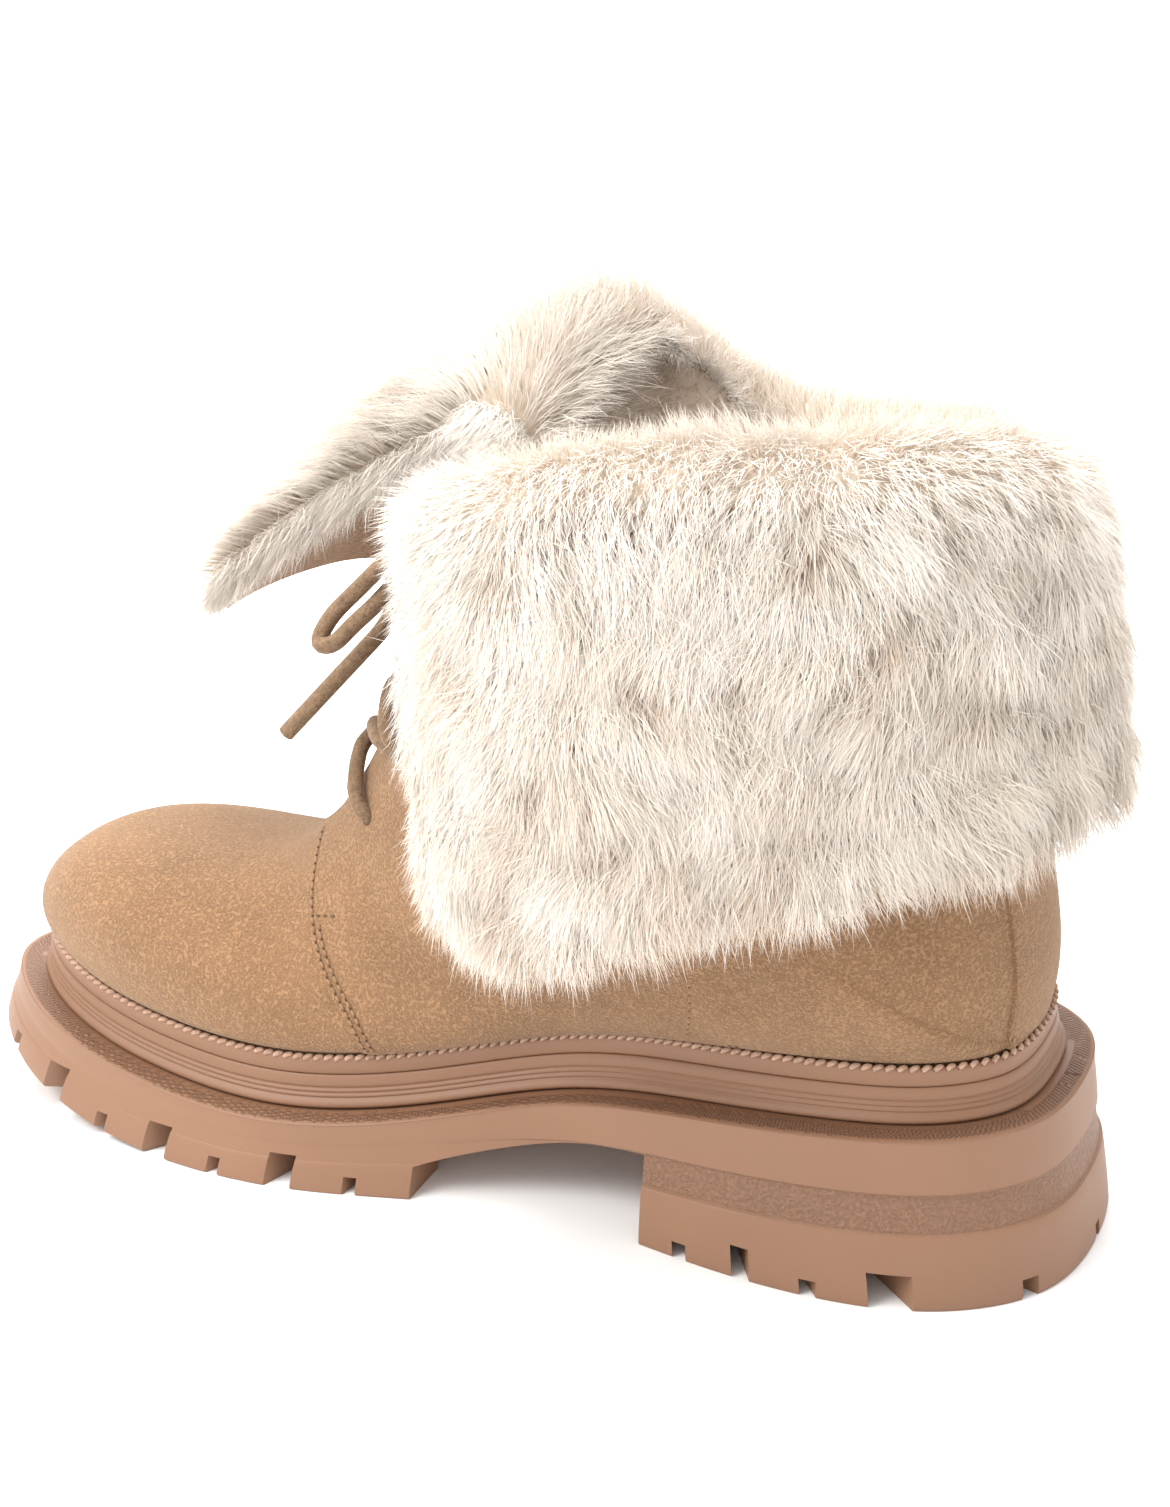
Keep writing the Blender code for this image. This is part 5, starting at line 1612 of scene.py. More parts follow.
def knot_stretch(row, side):
    """The lace from inside the top eyelet to the underside of the knot."""
    points = through_eyelet(row, side)
    for t in np.linspace(0.16, 0.96, 9):
        across = side * (EYELET_OFFSET + (LACE_DIAMETER / 2 - EYELET_OFFSET) * t)
        points.append(lace_point(row + (KNOT_ROW - row) * t, across, 0.0008 * t))
    return smooth_line(points, 36)


def build_lace(settings):
    look = lace_material(settings)
    radius = settings.lace_diameter / 2
    rows = list(eyelet_rows())
    shapes = []
    for k, (low, high) in enumerate(zip(rows, rows[1:])):
        for side in (1, -1):
            over = 0.0013 if (side > 0) == (k % 2 == 0) else -0.0006
            line = lace_stretch(low, high, side, over)
            shapes.append(tube_shape(line, radius, 14, 0.94, 0.018, 5 + k))
    for side in (1, -1):
        shapes.append(tube_shape(knot_stretch(rows[-1], side), radius, 14, 0.94, 0.018, 11))
    crossings = add_mesh("lace_through_eyelets", *join_shapes(shapes), look)
    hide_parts("lace_crossings")

    place, out = knot_place()
    across = np.array((0.0, 1.0, 0.0))
    up = np.cross(out, across)
    turns = np.linspace(0, math.tau, 97)[:-1]
    trefoil = np.column_stack([
        np.sin(3 * turns) * 0.0024,
        (np.sin(turns) + 2 * np.sin(2 * turns)) * 0.00130,
        (np.cos(turns) - 2 * np.cos(2 * turns)) * 0.00100,
    ])
    loop = place + trefoil[:, :1] * out + trefoil[:, 1:2] * across + trefoil[:, 2:] * up
    knot = add_mesh("bow_knot_wraps", *tube_shape(loop, radius * 0.92, 14, 0.92, 0.015), look)
    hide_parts("bow_knot")

    for side, side_name, loop_table, end_table in BOW:
        for kind, table, ends in (("bow_loop", loop_table, (0, -1)), ("lace_end", end_table, (0,))):
            spots = np.array(table) * (1, side, 1)
            route = spots + place
            for k in ends:
                route[k] = beside_knot(spots[k])
            line = shift_home(smooth_line(route, 60))
            curve = bpy.data.curves.new(f"{kind}_{side_name}_cord", "CURVE")
            curve.dimensions = "3D"
            curve.bevel_depth = radius
            curve.bevel_resolution = 6
            curve.use_fill_caps = True
            curve.materials.append(look)
            spline = curve.splines.new("POLY")
            spline.points.add(len(line) - 1)
            for point, spot in zip(spline.points, line):
                point.co = (*spot, 1.0)
            spline.use_smooth = True
            cord = link_object(f"{kind}_{side_name}_cord", curve)
            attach(cord, "root")
            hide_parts(f"{kind}_{side_name}")


# Cuff
def rim_places(count):
    """Stations of the cuff as signed shares of the rim's section, and shares of the way round."""
    ease = (1 - np.cos(np.linspace(0, np.pi, 300))) / 2
    first = share_at_offset(LAST_ROW, 1, CUFF_NEAR_START)
    last = share_at_offset(LAST_ROW, -1, CUFF_FAR_START)
    inner = first + (1 - first) * ease
    outer = 1 + (last - 1) * ease[1:]
    points = np.concatenate([upper_surface(LAST_ROW, 1, inner), upper_surface(LAST_ROW, -1, outer)])
    signed = np.concatenate([inner, 2 - outer])
    run = run_length(points)
    around = np.linspace(0, 1, count + 1)
    return np.interp(around * run[-1], run, signed), around


def rim_points(row, signed):
    near = upper_surface(row, 1, np.minimum(signed, 1.0))
    far = upper_surface(row, -1, np.minimum(2 - signed, 1.0))
    return np.where((signed <= 1)[:, None], near, far)


def cuff_surface(count, lining_rows, fold_steps, flap_steps):
    """Points and normals of the face that lies on the shaft, station by station, up the inside,
    over the fold and down the flap, with the kind, the share along it and the plain fur depth."""
    signed, around = rim_places(count)
    rims = rim_points(LAST_ROW, signed)
    heading = unit(np.gradient(rims, axis=0))
    outward = np.stack([-heading[:, 1], heading[:, 0], np.zeros(len(rims))], axis=1)
    outward *= np.sign(((rims - rims.mean(axis=0)) * outward).sum(axis=1))[:, None]
    turn, lean, tip_lean, sweep, length, lift = READ_CUFF(around).T
    side = np.where(signed <= 1, 1, -1)
    turn = np.radians(turn) * side
    out = np.column_stack([
        outward[:, 0] * np.cos(turn) - outward[:, 1] * np.sin(turn),
        outward[:, 0] * np.sin(turn) + outward[:, 1] * np.cos(turn),
        np.zeros(len(turn)),
    ])
    up = np.array((0.0, 0.0, 1.0))
    ends = np.minimum(1.0, 0.60 + 6 * np.minimum(around, 1 - around))
    points, normals, kinds, shares, depths = [], [], [], [], []
    for row in lining_rows:
        share = np.clip((row - FLEECE_TOP_ROW) / (LAST_ROW - FLEECE_TOP_ROW), 0, 1)
        points.append(rim_points(row, signed) - out * SEAM_GAP * 1.8)
        normals.append(-out)
        kinds.append(0)
        shares.append(share)
        depths.append(np.full(count + 1, FUR_LINING * (0.55 + 0.45 * share)))
    start = rims + up * (FOLD_RISE + lift * RIM_HEIGHT)[:, None]
    end_angle = np.pi - np.radians(lean)
    for k in range(fold_steps):
        share = k / (fold_steps - 1)
        angle = end_angle * share
        normal = up * np.sin(angle)[:, None] - out * np.cos(angle)[:, None]
        here = start + out * FOLD_RADIUS + normal * FOLD_RADIUS
        points.append(here)
        normals.append(normal)
        kinds.append(1)
        shares.append(share)
        depth = FUR_LINING + (FUR_CREST - FUR_LINING) * math.sin(math.pi * share / 2)
        depths.append(np.full(count + 1, depth))
    back = np.where(around < 0.5, -1.0, 1.0)
    trail = heading * (-back * np.tan(np.radians(sweep)))[:, None]
    flap = (length * RIM_HEIGHT + FUR_OVERHANG) / flap_steps
    for k in range(1, flap_steps + 1):
        share = k / flap_steps
        angle = np.radians(lean + (tip_lean - lean) * share)
        step = out * np.sin(angle)[:, None] - up * np.cos(angle)[:, None] + trail
        here = here + step * flap[:, None]
        points.append(here)
        normals.append(out * np.cos(angle)[:, None] + up * np.sin(angle)[:, None])
        kinds.append(2)
        shares.append(share)
        body = FUR_CREST + (FUR_FLAP - FUR_CREST) * min(share * 3, 1)
        hem = 1 - 0.55 * max((share - 0.82) / 0.18, 0) ** 2
        depths.append(body * hem * ends)
    return {
        "around": around,
        "points": np.array(points).transpose(1, 0, 2),
        "normals": unit(np.array(normals).transpose(1, 0, 2)),
        "kinds": np.array(kinds),
        "shares": np.array(shares),
        "depths": np.array(depths).T,
        "hem": length * RIM_HEIGHT / (length * RIM_HEIGHT + FUR_OVERHANG),
        "rims": rims,
    }


def two_faced(name, near, far, look):
    """A closed piece between two grids of points of the same size."""
    rows, columns = near.shape[:2]
    verts = np.concatenate([near.reshape(-1, 3), far.reshape(-1, 3)])
    count = rows * columns
    faces = grid_faces(rows, columns) + grid_faces(rows, columns, start=count)
    edges = []
    for i in (0, rows - 1):
        edges += [(i * columns + j, i * columns + j + 1) for j in range(columns - 1)]
    for j in (0, columns - 1):
        edges += [(i * columns + j, (i + 1) * columns + j) for i in range(rows - 1)]
    faces += [(a, b, count + b, count + a) for a, b in edges]
    piece = add_mesh(name, verts, faces, look)
    weld_and_face_out(piece, WELD)
    piece.data.shade_smooth()
    piece.data.set_sharp_from_angle(angle=math.radians(50))
    return piece


def ear_share(around):
    """0 on the cuff and 1 at its far front end, where the pile stands up like an ear."""
    return np.clip((around - EAR_START) / EAR_BLEND, 0, 1)


def fur_room(grid):
    """Where the pile starts above the cuff's surface, and how deep it is, at every grid point."""
    low = np.where(grid["kinds"] == 0, UPPER_WALL + FIT_GAP, CUFF_BACKING + 0.0001)[None, :]
    depth = grid["depths"] + UPPER_WALL + FIT_GAP - low
    return np.broadcast_to(low, depth.shape), depth


def build_cuff(settings):
    """The suede that backs the cuff, and the short dense undercoat under the long fur."""
    # The backing takes a darker copy of the suede: painted shade under the cuff.
    suede = suede_material(settings, "suede_backing", 0.92)
    grid = cuff_surface(160, (), 9, 40)
    fold = grid["kinds"] == 1
    flap = grid["kinds"] == 2
    points, normals = grid["points"], grid["normals"]
    foot = points[:, :1].copy()
    foot[:, 0, 2] = grid["rims"][:, 2] + FIT_GAP
    reach = np.arange(1, 37)[None, :] / 36 * grid["hem"][:, None] * flap.sum()
    low = np.clip(np.floor(reach).astype(int) - 1, 0, flap.sum() - 2)
    part = (reach - 1 - low)[..., None]
    station = np.arange(len(points))[:, None]
    on_flap, flap_normals = points[:, flap], normals[:, flap]
    hem = on_flap[station, low] * (1 - part) + on_flap[station, low + 1] * part
    hem_normals = flap_normals[station, low] * (1 - part) + flap_normals[station, low + 1] * part
    under = np.concatenate([foot, points[:, fold], hem], axis=1)
    outs = np.concatenate([normals[:, :1], normals[:, fold], unit(hem_normals)], axis=1)
    backing = two_faced("cuff_suede", under, under + outs * CUFF_BACKING, suede)
    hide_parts("cuff_backing")

    # The undercoat is coloured with the pile's middle tone, darker than the tips: painted shade deep in
    # the pile.
    look = fur_material("fur_undercoat", settings.fur_root, settings.fur_middle, settings.fur_middle)
    grid = cuff_surface(160, (18.6, 18.9, 19.2, 19.5, 19.8), 9, 40)
    clear, depth = fur_room(grid)
    near = grid["points"] + grid["normals"] * clear[..., None]
    ear = ear_share(grid["around"])[:, None]
    height = clear + depth * settings.undercoat * (1 + 0.5 * ear)
    far = grid["points"] + grid["normals"] * height[..., None]
    keep = (grid["kinds"] < 2) | (grid["shares"] < 0.93)
    near, far = near[1:-1, keep], far[1:-1, keep]
    undercoat = two_faced("fur_undercoat", near, far, look)
    shade = undercoat.data.attributes.new("shade", "FLOAT", "POINT")
    shade.data.foreach_set("value", np.full(len(undercoat.data.vertices), 0.54, np.float32))
    return undercoat


def soft_noise(rng, across, down, size, waves=16):
    """Smooth noise of about -1 to 1 over the fur's two lengths."""
    total = np.zeros_like(across)
    for _ in range(waves):
        angle = rng.uniform(0, math.tau)
        rate = math.tau / size * rng.uniform(0.55, 1.2)
        wave = across * math.cos(angle) + down * math.sin(angle)
        total += np.cos(rate * wave + rng.uniform(0, math.tau))
    return total / math.sqrt(waves / 2)


def read_grid(values, u, v):
    """Values of a grid at places between its points."""
    i = np.clip(u.astype(int), 0, values.shape[0] - 2)
    j = np.clip(v.astype(int), 0, values.shape[1] - 2)
    a, b = u - i, v - j
    if values.ndim == 3:
        a, b = a[:, None], b[:, None]
    top = values[i, j] * (1 - b) + values[i, j + 1] * b
    low = values[i + 1, j] * (1 - b) + values[i + 1, j + 1] * b
    return top * (1 - a) + low * a


def strand_mesh(name, rings, sides, widths, shades, look):
    """One mesh of flat strands, each three rings long and pointed at its tip."""
    count = len(rings[0])
    verts = np.empty((count, 5, 3), np.float32)
    verts[:, 0] = rings[0] - sides * widths[:, None]
    verts[:, 1] = rings[0] + sides * widths[:, None]
    verts[:, 2] = rings[1] - sides * widths[:, None] * 0.8
    verts[:, 3] = rings[1] + sides * widths[:, None] * 0.8
    verts[:, 4] = rings[2]
    verts -= np.array((HEEL_CENTRE, 0, 0), np.float32)
    mesh = bpy.data.meshes.new(name)
    mesh.vertices.add(count * 5)
    mesh.vertices.foreach_set("co", verts.ravel())
    start = np.arange(count)[:, None] * 5
    corners = (np.array([0, 1, 3, 2, 2, 3, 4])[None] + start).astype(np.int32)
    mesh.loops.add(count * 7)
    mesh.loops.foreach_set("vertex_index", corners.ravel())
    starts = (np.array([0, 4])[None] + np.arange(count)[:, None] * 7).astype(np.int32)
    mesh.polygons.add(count * 2)
    mesh.polygons.foreach_set("loop_start", starts.ravel())
    mesh.update(calc_edges=True)
    mesh.shade_smooth()
    mesh.materials.append(look)
    shade = mesh.attributes.new("shade", "FLOAT", "POINT")
    shade.data.foreach_set("value", shades.astype(np.float32).ravel())
    piece = link_object(name, mesh)
    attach(piece, "root")
    return piece


def join_locks(rng, home, lengths, cell):
    """The lock nearest to every root: its turn, size, tone and middle over the fur's two lengths."""
    cells = tuple(int(length / cell) + 4 for length in lengths)
    jitter = rng.uniform(0.1, 0.9, (*cells, 2))
    turns = rng.standard_normal(cells) * 0.13
    sizes = 1 + rng.standard_normal(cells) * 0.12
    tones = rng.standard_normal(cells) * 0.09
    base = np.floor(home / cell).astype(int) + 1
    best = np.full(len(home), np.inf)
    owner = np.zeros((len(home), 2), int)
    centre = np.zeros((len(home), 2))
    for di in (-1, 0, 1):
        for dj in (-1, 0, 1):
            spot = np.clip(base + (di, dj), 0, np.array(cells) - 1)
            place = (spot - 1 + jitter[spot[:, 0], spot[:, 1]]) * cell
            far = ((place - home) ** 2).sum(axis=1)
            closer = far < best
            best[closer] = far[closer]
            owner[closer] = spot[closer]
            centre[closer] = place[closer]
    i, j = owner.T
    return turns[i, j], sizes[i, j], tones[i, j], centre


def part_pile(grid, home, round_run, middle_run):
    """How the partings push the pile round and down the cuff, and how bare they leave it."""
    push = np.zeros((len(home), 2))
    dip = np.zeros(len(home))
    columns = len(middle_run)
    first_flap = int(np.argmax(grid["kinds"] == 2))
    for place, depth, radius, strength in PARTINGS:
        column = first_flap + depth * (columns - 1 - first_flap)
        across = np.interp(place, grid["around"], round_run)
        down = np.interp(column, np.arange(columns), middle_run)
        away = home - (across, down)
        far = np.linalg.norm(away, axis=1)
        fade = np.exp(-((far / radius) ** 2)) * strength * 0.42
        push += away / np.maximum(far, 1e-5)[:, None] * (fade * 1.5)[:, None]
        dip += np.exp(-((far / (radius * 0.50)) ** 2)) * strength
    push[:, 1] = np.maximum(push[:, 1], -0.75)
    return push, np.clip(dip, 0, 1)


FUR_PIECES = (
    ("fur_inner_front", 0.00, 0.15),
    ("fur_inner_side", 0.15, 0.30),
    ("fur_back", 0.30, 0.48),
    ("fur_outer_side", 0.48, 0.76),
    ("fur_outer_front", 0.76, 0.90),
    ("fur_ear", 0.90, 1.01),
)


def build_fur(settings):
    """Long pile over the cuff: strands gathered into locks, lying down the flap, with partings."""
    look = fur_material("fur", settings.fur_root, settings.fur_middle, settings.fur_tip)
    rng = np.random.default_rng(17)
    grid = cuff_surface(200, tuple(np.linspace(18.3, 19.9, 9)), 13, 48)
    points, normals, kinds = grid["points"], grid["normals"], grid["kinds"]
    rows, columns = points.shape[:2]
    clear, room = fur_room(grid)
    down = np.gradient(points, axis=1)
    along = np.gradient(points, axis=0)
    area = np.linalg.norm(np.cross(down, along), axis=2)
    seen = np.interp(grid["around"], (0.0, 0.43, 0.50, 0.74, 0.82, 1.0), (1.5, 1.5, 0.8, 0.8, 1.3, 1.3))
    density, rooted, pile_length, root_lift, tip_lift = np.array(PILE).T
    weight = density[kinds][None, :] * seen[:, None]
    hem = np.where(kinds == 2, grid["shares"], 0)[None, :] <= grid["hem"][:, None] * 0.985
    chance = (area * weight * hem)[:-1, :-1]

    # The pile itself, and a fringe on the two front ends of the cuff
    fringe = int(settings.fur_strands * FRINGE_SHARE)
    body = settings.fur_strands - fringe
    pick = rng.choice(chance.size, size=body, p=chance.ravel() / chance.sum())
    u = pick // (columns - 1) + rng.random(body)
    v = pick % (columns - 1) + rng.random(body)
    first_fold = int(np.argmax(kinds == 1))
    last_flap = grid["hem"][[0, -1]] * (columns - 1 - first_fold) + first_fold
    far_end = rng.random(fringe) < 0.60
    in_from_end = rng.random(fringe) ** 1.5 * 0.9
    u = np.concatenate([u, np.where(far_end, rows - 1.001 - in_from_end, in_from_end)])
    low_edge = np.where(far_end, last_flap[1], last_flap[0])
    v = np.concatenate([v, first_fold - 2 + rng.random(fringe) * (low_edge - first_fold + 2)])
    on_edge = np.arange(len(u)) >= body
    count = len(u)

    middle_run = run_length(points[rows // 3])
    round_run = run_length(points[:, columns // 2])
    across = np.interp(u, np.arange(rows), round_run)
    run = np.interp(v, np.arange(columns), middle_run)
    home = np.stack([across, run], axis=1)
    lengths = (round_run[-1], middle_run[-1])
    turn, size, tone, centre = join_locks(rng, home, lengths, settings.lock_size)
    centre_u = np.interp(centre[:, 0], round_run, np.arange(rows))
    centre_v = np.interp(centre[:, 1], middle_run, np.arange(columns))

    swirl = soft_noise(np.random.default_rng(3), across, run, 0.042) * 0.36
    ruffle = soft_noise(np.random.default_rng(4), across, run, 0.014) * 0.13
    loft = soft_noise(np.random.default_rng(5), across, run, 0.016)
    patch = soft_noise(np.random.default_rng(6), across, run, 0.022)
    around = np.interp(u, np.arange(rows), grid["around"])
    share = np.interp(v, np.arange(columns), np.where(kinds == 2, grid["shares"], 0))
    kind = kinds[np.clip(v.astype(int), 0, columns - 1)]
    push, dip = part_pile(grid, home, round_run, middle_run)

    # How the pile stands: how deep it is rooted, how long it is and how far it stands up
    flap_part = np.clip(share / 0.16, 0, 1) * (kind == 2)
    near_hem = np.clip((share - 0.78) / 0.2, 0, 1)
    end_distance = np.minimum(across, round_run[-1] - across)
    end_sign = np.where(across < round_run[-1] / 2, -1.0, 1.0)
    outward = np.clip(1 - end_distance / 0.010, 0, 1) * 0.8
    sink = rooted[kind] + 0.02 * loft - 0.12 * dip
    long = pile_length[kind] * (1 + 0.05 * loft)
    low_lift = root_lift[kind] - 0.16 * flap_part + 0.02 * loft
    high_lift = tip_lift[kind] - 0.28 * flap_part + 0.03 * loft
    long = long * (1 - 0.25 * dip) * (1 - 0.10 * near_hem)
    low_lift = low_lift - 0.25 * near_hem
    high_lift = high_lift - 0.20 * near_hem
    ear = ear_share(around)
    long = long * (1 + 0.72 * ear)
    sink = sink + 0.25 * ear
    high_lift = high_lift + 0.22 * ear
    droop = np.full(count, 0.20)
    sink[on_edge] = rng.random(fringe) * 0.55 - 0.04
    long[on_edge] = np.where(far_end, 0.0125, 0.0095)
    outward[on_edge] = rng.uniform(0.7, 2.6, fringe)
    low_lift[on_edge] = rng.uniform(-0.25, 0.60, fringe)
    high_lift[on_edge] = rng.uniform(-0.25, 0.35, fringe)
    droop[on_edge] = np.where(far_end, 0.80, 0.45)

    def strand(at_u, at_v, spread_turn, spread_size):
        spot = read_grid(points, at_u, at_v)
        normal = unit(read_grid(normals, at_u, at_v))
        depth = read_grid(room, at_u, at_v)
        start = read_grid(clear, at_u, at_v)
        ahead = unit(read_grid(down, at_u, at_v))
        ahead = unit(ahead - normal * (ahead * normal).sum(axis=1)[:, None])
        sideways = unit(np.cross(ahead, normal))
        sideways *= np.sign((sideways * read_grid(along, at_u, at_v)).sum(axis=1))[:, None]
        root = spot + normal * (start + depth * sink)[:, None]
        angle = swirl + ruffle + turn + spread_turn
        lay = ahead * np.cos(angle)[:, None] + sideways * np.sin(angle)[:, None]
        lay = unit(lay + sideways * push[:, :1] + ahead * push[:, 1:])
        lay = unit(lay + sideways * (outward * end_sign)[:, None])
        low = np.clip(low_lift, -0.9, 0.97)
        high = np.clip(high_lift, -0.9, 0.95)
        reach = long * size * spread_size * (0.55 + 0.45 * np.clip(depth / FUR_FLAP, 0, 1))
        first = normal * low[:, None] + lay * np.sqrt(1 - low**2)[:, None]
        second = normal * high[:, None] + lay * np.sqrt(1 - high**2)[:, None]
        second[:, 2] -= droop
        second = unit(second)
        bend = root + first * (reach * 0.45)[:, None]
        tip = bend + second * (reach * 0.62)[:, None]
        return root, bend, tip, normal

    own_turn = rng.standard_normal(count) * 0.42
    own_turn *= 1 + ear
    own_size = 1 + rng.standard_normal(count) * 0.14
    wild = rng.random(count) < 0.06
    own_turn[wild] += rng.standard_normal(wild.sum()) * 0.6
    own_size[wild] *= 1.10
    root, bend, tip, normal = strand(u, v, own_turn, own_size)
    _, lock_bend, lock_tip, _ = strand(centre_u, centre_v, 0.0, 1.0)
    gather = np.where(wild | on_edge, 0.0, rng.uniform(0.05, 0.38, count))[:, None]
    tip = tip * (1 - gather) + lock_tip * gather
    bend = bend * (1 - gather * 0.4) + lock_bend * gather * 0.4
    tip += rng.standard_normal((count, 3)) * (0.0009 + 0.0009 * ear)[:, None]
    facing = unit(normal + rng.standard_normal((count, 3)) * 0.30)
    sides = unit(np.cross(tip - root, facing))
    widths = settings.strand_width / 2 * rng.uniform(0.7, 1.25, count)
    widths[wild] *= 0.6

    # Each strand's tint: random tone per strand, lock and patch, plus painted light that makes the flap
    # lighter at its top and darker towards its hem.
    tint = rng.standard_normal(count) * 0.11 + tone - 0.10 * patch + 0.16 * (0.5 - share)
    # Painted shade in the partings.
    tint -= 0.42 * dip
    # Painted light on the ear.
    tint += 0.36 * ear
    # Painted shade on the lining inside the shaft; painted highlight on the fold's crest and the top of
    # the flap.
    tint += np.where(kind == 0, -0.28, np.where(kind == 1, 0.40, 0.34 * np.exp(-share / 0.12)))
    levels = np.array([0.22, 0.22, 0.60, 0.60, 0.92])
    shades = np.clip(levels[None] + tint[:, None] * np.array([0.5, 0.5, 1, 1, 1]), 0, 1)
    for name, low, high in FUR_PIECES:
        use = (around >= low) & (around < high)
        strand_mesh(name, [root[use], bend[use], tip[use]], sides[use], widths[use], shades[use], look)
    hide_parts("fur_cuff")


def build_tongue(settings):
    # The tongue takes a darker copy of the suede: painted shade in the throat.
    tongue = add_mesh("tongue_suede", *tongue_shape(), suede_material(settings, "suede_tongue", 0.90))
    weld_and_face_out(tongue, WELD)
    tongue.data.shade_smooth()
    tongue.data.set_sharp_from_angle(angle=math.radians(40))
    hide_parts("tongue")


def build_insole(settings):
    """The insole keeps its solid, with a short fleece for its surface."""
    fleece = fur_material("fleece", settings.fur_root, settings.fur_middle, settings.fur_middle)
    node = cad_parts["insole"]
    node.data.materials.clear()
    node.data.materials.append(fleece)


# Stage
def build_stage():
    data = bpy.data.cameras.new("camera")
    data.lens = CAMERA_LENS
    data.sensor_width = 36.0
    data.shift_x, data.shift_y = CAMERA_SHIFT
    data.clip_start = 0.01
    data.clip_end = 20.0
    camera = link_object("camera", data)
    heading, drop, roll = CAMERA_HEADING, CAMERA_DROP, math.radians(CAMERA_ROLL)
    level = math.cos(drop)
    view = np.array((math.cos(heading) * level, -math.sin(heading) * level, -math.sin(drop)))
    right = unit(np.cross(view, (0.0, 0.0, 1.0)))
    up = np.cross(right, view)
    turned_right = right * math.cos(roll) + up * math.sin(roll)
    turned_up = up * math.cos(roll) - right * math.sin(roll)
    matrix = Matrix((turned_right, turned_up, -view)).transposed().to_4x4()
    matrix.translation = Vector(CAMERA_PLACE)
    camera.matrix_world = matrix
    bpy.context.scene.camera = camera

    floor_mesh = bpy.data.meshes.new("floor")
    corners = [(FLOOR_REACH * a, FLOOR_REACH * b, 0) for a, b in ((-1, -1), (1, -1), (1, 1), (-1, 1))]
    floor_mesh.from_pydata(corners, [], [(0, 1, 2, 3)])
    paint = bpy.data.materials.new("floor_paint")
    paint.use_nodes = True
    shader = paint.node_tree.nodes["Principled BSDF"]
    shader.inputs["Base Color"].default_value = (0.94, 0.94, 0.94, 1)
    shader.inputs["Roughness"].default_value = 0.9
    shader.inputs["Specular IOR Level"].default_value = 0.1
    floor_mesh.materials.append(paint)
    floor = link_object("floor", floor_mesh)

    world = bpy.data.worlds.new("studio")
    world.use_nodes = True
    world.node_tree.nodes["Background"].inputs["Color"].default_value = (1.0, 1.0, 1.0, 1)
    world.node_tree.nodes["Background"].inputs["Strength"].default_value = 1.0
    bpy.context.scene.world = world
    bpy.context.scene.view_settings.view_transform = "Standard"
    for name, place, power, size, colour in LAMPS:
        lamp = bpy.data.lights.new(name, "AREA")
        lamp.energy = power
        lamp.size = size
        lamp.color = colour
        obj = link_object(name, lamp)
        obj.location = place
        aim = Vector(LAMP_TARGET) - Vector(place)
        obj.rotation_euler = aim.to_track_quat("-Z", "Y").to_euler()


# Add-on
class BootLookSettings(bpy.types.PropertyGroup):
    """Sizes and colours of the boot's surfaces."""

    lace_diameter: FloatProperty(
        name="Lace diameter",
        description="Thickness of the round lace",
        default=LACE_DIAMETER,
        min=0.001,
        unit="LENGTH",
    )
    stitch_pitch: FloatProperty(
        name="Stitch pitch",
        description="Length of one stitch on the suede",
        default=0.0022,
        min=0.001,
        unit="LENGTH",
    )
    welt_pitch: FloatProperty(
        name="Welt stitch pitch",
        description="Length of one stitch on the rand",
        default=0.0026,
        min=0.001,
        unit="LENGTH",
    )
    strand_width: FloatProperty(
        name="Strand width",
        description="Width of one strand of the pile",
        default=0.00025,
        min=0.0001,
        unit="LENGTH",
    )
    lock_size: FloatProperty(
        name="Lock size",
        description="Distance between locks of the pile",
        default=0.0018,
        min=0.001,
        unit="LENGTH",
    )
    undercoat: FloatProperty(
        name="Undercoat",
        description="Share of the pile's depth that the dense undercoat fills",
        default=0.40,
        min=0.1,
        max=0.8,
    )
    fur_strands: IntProperty(
        name="Strands",
        description="Number of strands in the whole cuff",
        default=216000,
        min=1000,
        max=260000,
    )
    suede_light: FloatVectorProperty(
        name="Suede, raised nap",
        description="Colour of the brushed suede",
        subtype="COLOR",
        default=(0.410, 0.226, 0.110),
    )
    suede_dark: FloatVectorProperty(
        name="Suede, pressed nap",
        description="Colour of the smoothed suede",
        subtype="COLOR",
        default=(0.165, 0.085, 0.038),
    )
    rubber_colour: FloatVectorProperty(
        name="Rubber",
        description="Colour of the sole",
        subtype="COLOR",
        default=(0.275, 0.142, 0.080),
    )
    lace_light: FloatVectorProperty(
        name="Lace, light",
        description="Lighter colour of the lace",
        subtype="COLOR",
        default=(0.285, 0.182, 0.104),
    )
    lace_dark: FloatVectorProperty(
        name="Lace, dark",
        description="Darker colour of the lace",
        subtype="COLOR",
        default=(0.125, 0.072, 0.040),
    )
    fur_root: FloatVectorProperty(
        name="Fur root",
        description="Colour at the root of the pile",
        subtype="COLOR",
        default=(0.50, 0.36, 0.25),
    )
    fur_middle: FloatVectorProperty(
        name="Fur middle",
        description="Colour half way up the pile",
        subtype="COLOR",
        default=(0.72, 0.61, 0.50),
    )
    fur_tip: FloatVectorProperty(
        name="Fur tip",
        description="Colour at the tips of the pile",
        subtype="COLOR",
        default=(0.89, 0.83, 0.76),
    )


class BOOT_OT_stage(bpy.types.Operator):
    """Adds the camera, the pale floor and the soft studio lights"""

    bl_idname = "boot.stage"
    bl_label = "Add stage"

    def execute(self, context):
        build_stage()
        return {"FINISHED"}


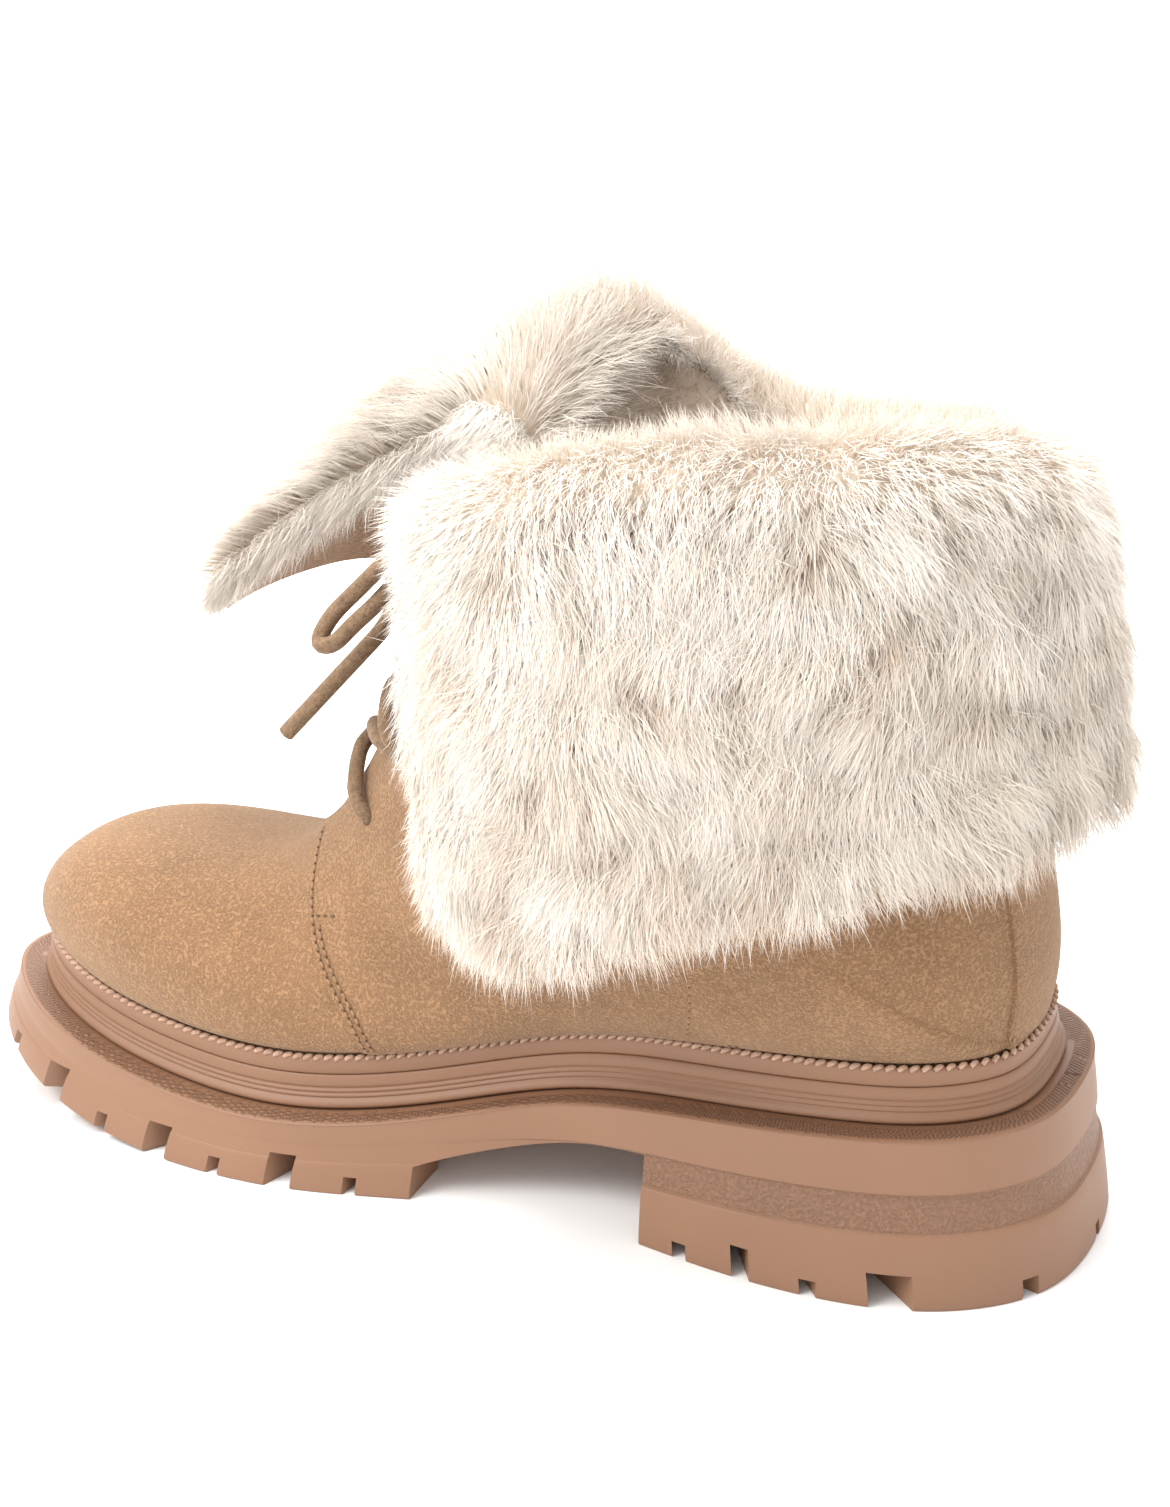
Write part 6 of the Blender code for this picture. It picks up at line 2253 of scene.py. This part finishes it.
class BOOT_OT_lace(bpy.types.Operator):
    """Runs the lace through the eyelets and ties its bow"""

    bl_idname = "boot.lace"
    bl_label = "Add lace"

    def execute(self, context):
        build_lace(context.scene.boot_look)
        return {"FINISHED"}


class BOOT_OT_sole(bpy.types.Operator):
    """Adds the outsole, the ribbed midsole, the rand and the insole"""

    bl_idname = "boot.sole"
    bl_label = "Add sole"

    def execute(self, context):
        build_sole(context.scene.boot_look)
        build_insole(context.scene.boot_look)
        return {"FINISHED"}


class BOOT_OT_upper(bpy.types.Operator):
    """Adds the suede upper with its tongue and all its stitches"""

    bl_idname = "boot.upper"
    bl_label = "Add upper"

    def execute(self, context):
        settings = context.scene.boot_look
        outer = build_upper(settings)
        build_tongue(settings)
        build_stitches(settings, outer)
        return {"FINISHED"}


class BOOT_OT_cuff(bpy.types.Operator):
    """Adds the cuff's suede backing, its undercoat and the long fur"""

    bl_idname = "boot.cuff"
    bl_label = "Add fur cuff"

    def execute(self, context):
        settings = context.scene.boot_look
        undercoat = build_cuff(settings)
        build_fur(settings)
        return {"FINISHED"}


class BOOT_PT_panel(bpy.types.Panel):
    """Boot settings and the steps that build it"""

    bl_idname = "BOOT_PT_panel"
    bl_label = "Fur cuff boot"
    bl_space_type = "VIEW_3D"
    bl_region_type = "UI"
    bl_category = "Boot"

    def draw(self, context):
        column = self.layout.column()
        for name in BootLookSettings.__annotations__:
            column.prop(context.scene.boot_look, name)
        for step in ("boot.stage", "boot.lace", "boot.sole", "boot.upper", "boot.cuff"):
            column.operator(step)


CLASSES = (
    BootLookSettings,
    BOOT_OT_stage,
    BOOT_OT_lace,
    BOOT_OT_sole,
    BOOT_OT_upper,
    BOOT_OT_cuff,
    BOOT_PT_panel,
)


def register():
    for kind in CLASSES:
        bpy.utils.register_class(kind)
    bpy.types.Scene.boot_look = PointerProperty(type=BootLookSettings)


def unregister():
    del bpy.types.Scene.boot_look
    for kind in reversed(CLASSES):
        bpy.utils.unregister_class(kind)


def main():
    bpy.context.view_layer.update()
    register()
    bpy.ops.boot.stage()
    bpy.ops.boot.lace()
    bpy.ops.boot.sole()
    bpy.ops.boot.upper()
    bpy.ops.boot.cuff()


if __name__ == "__main__":
    main()
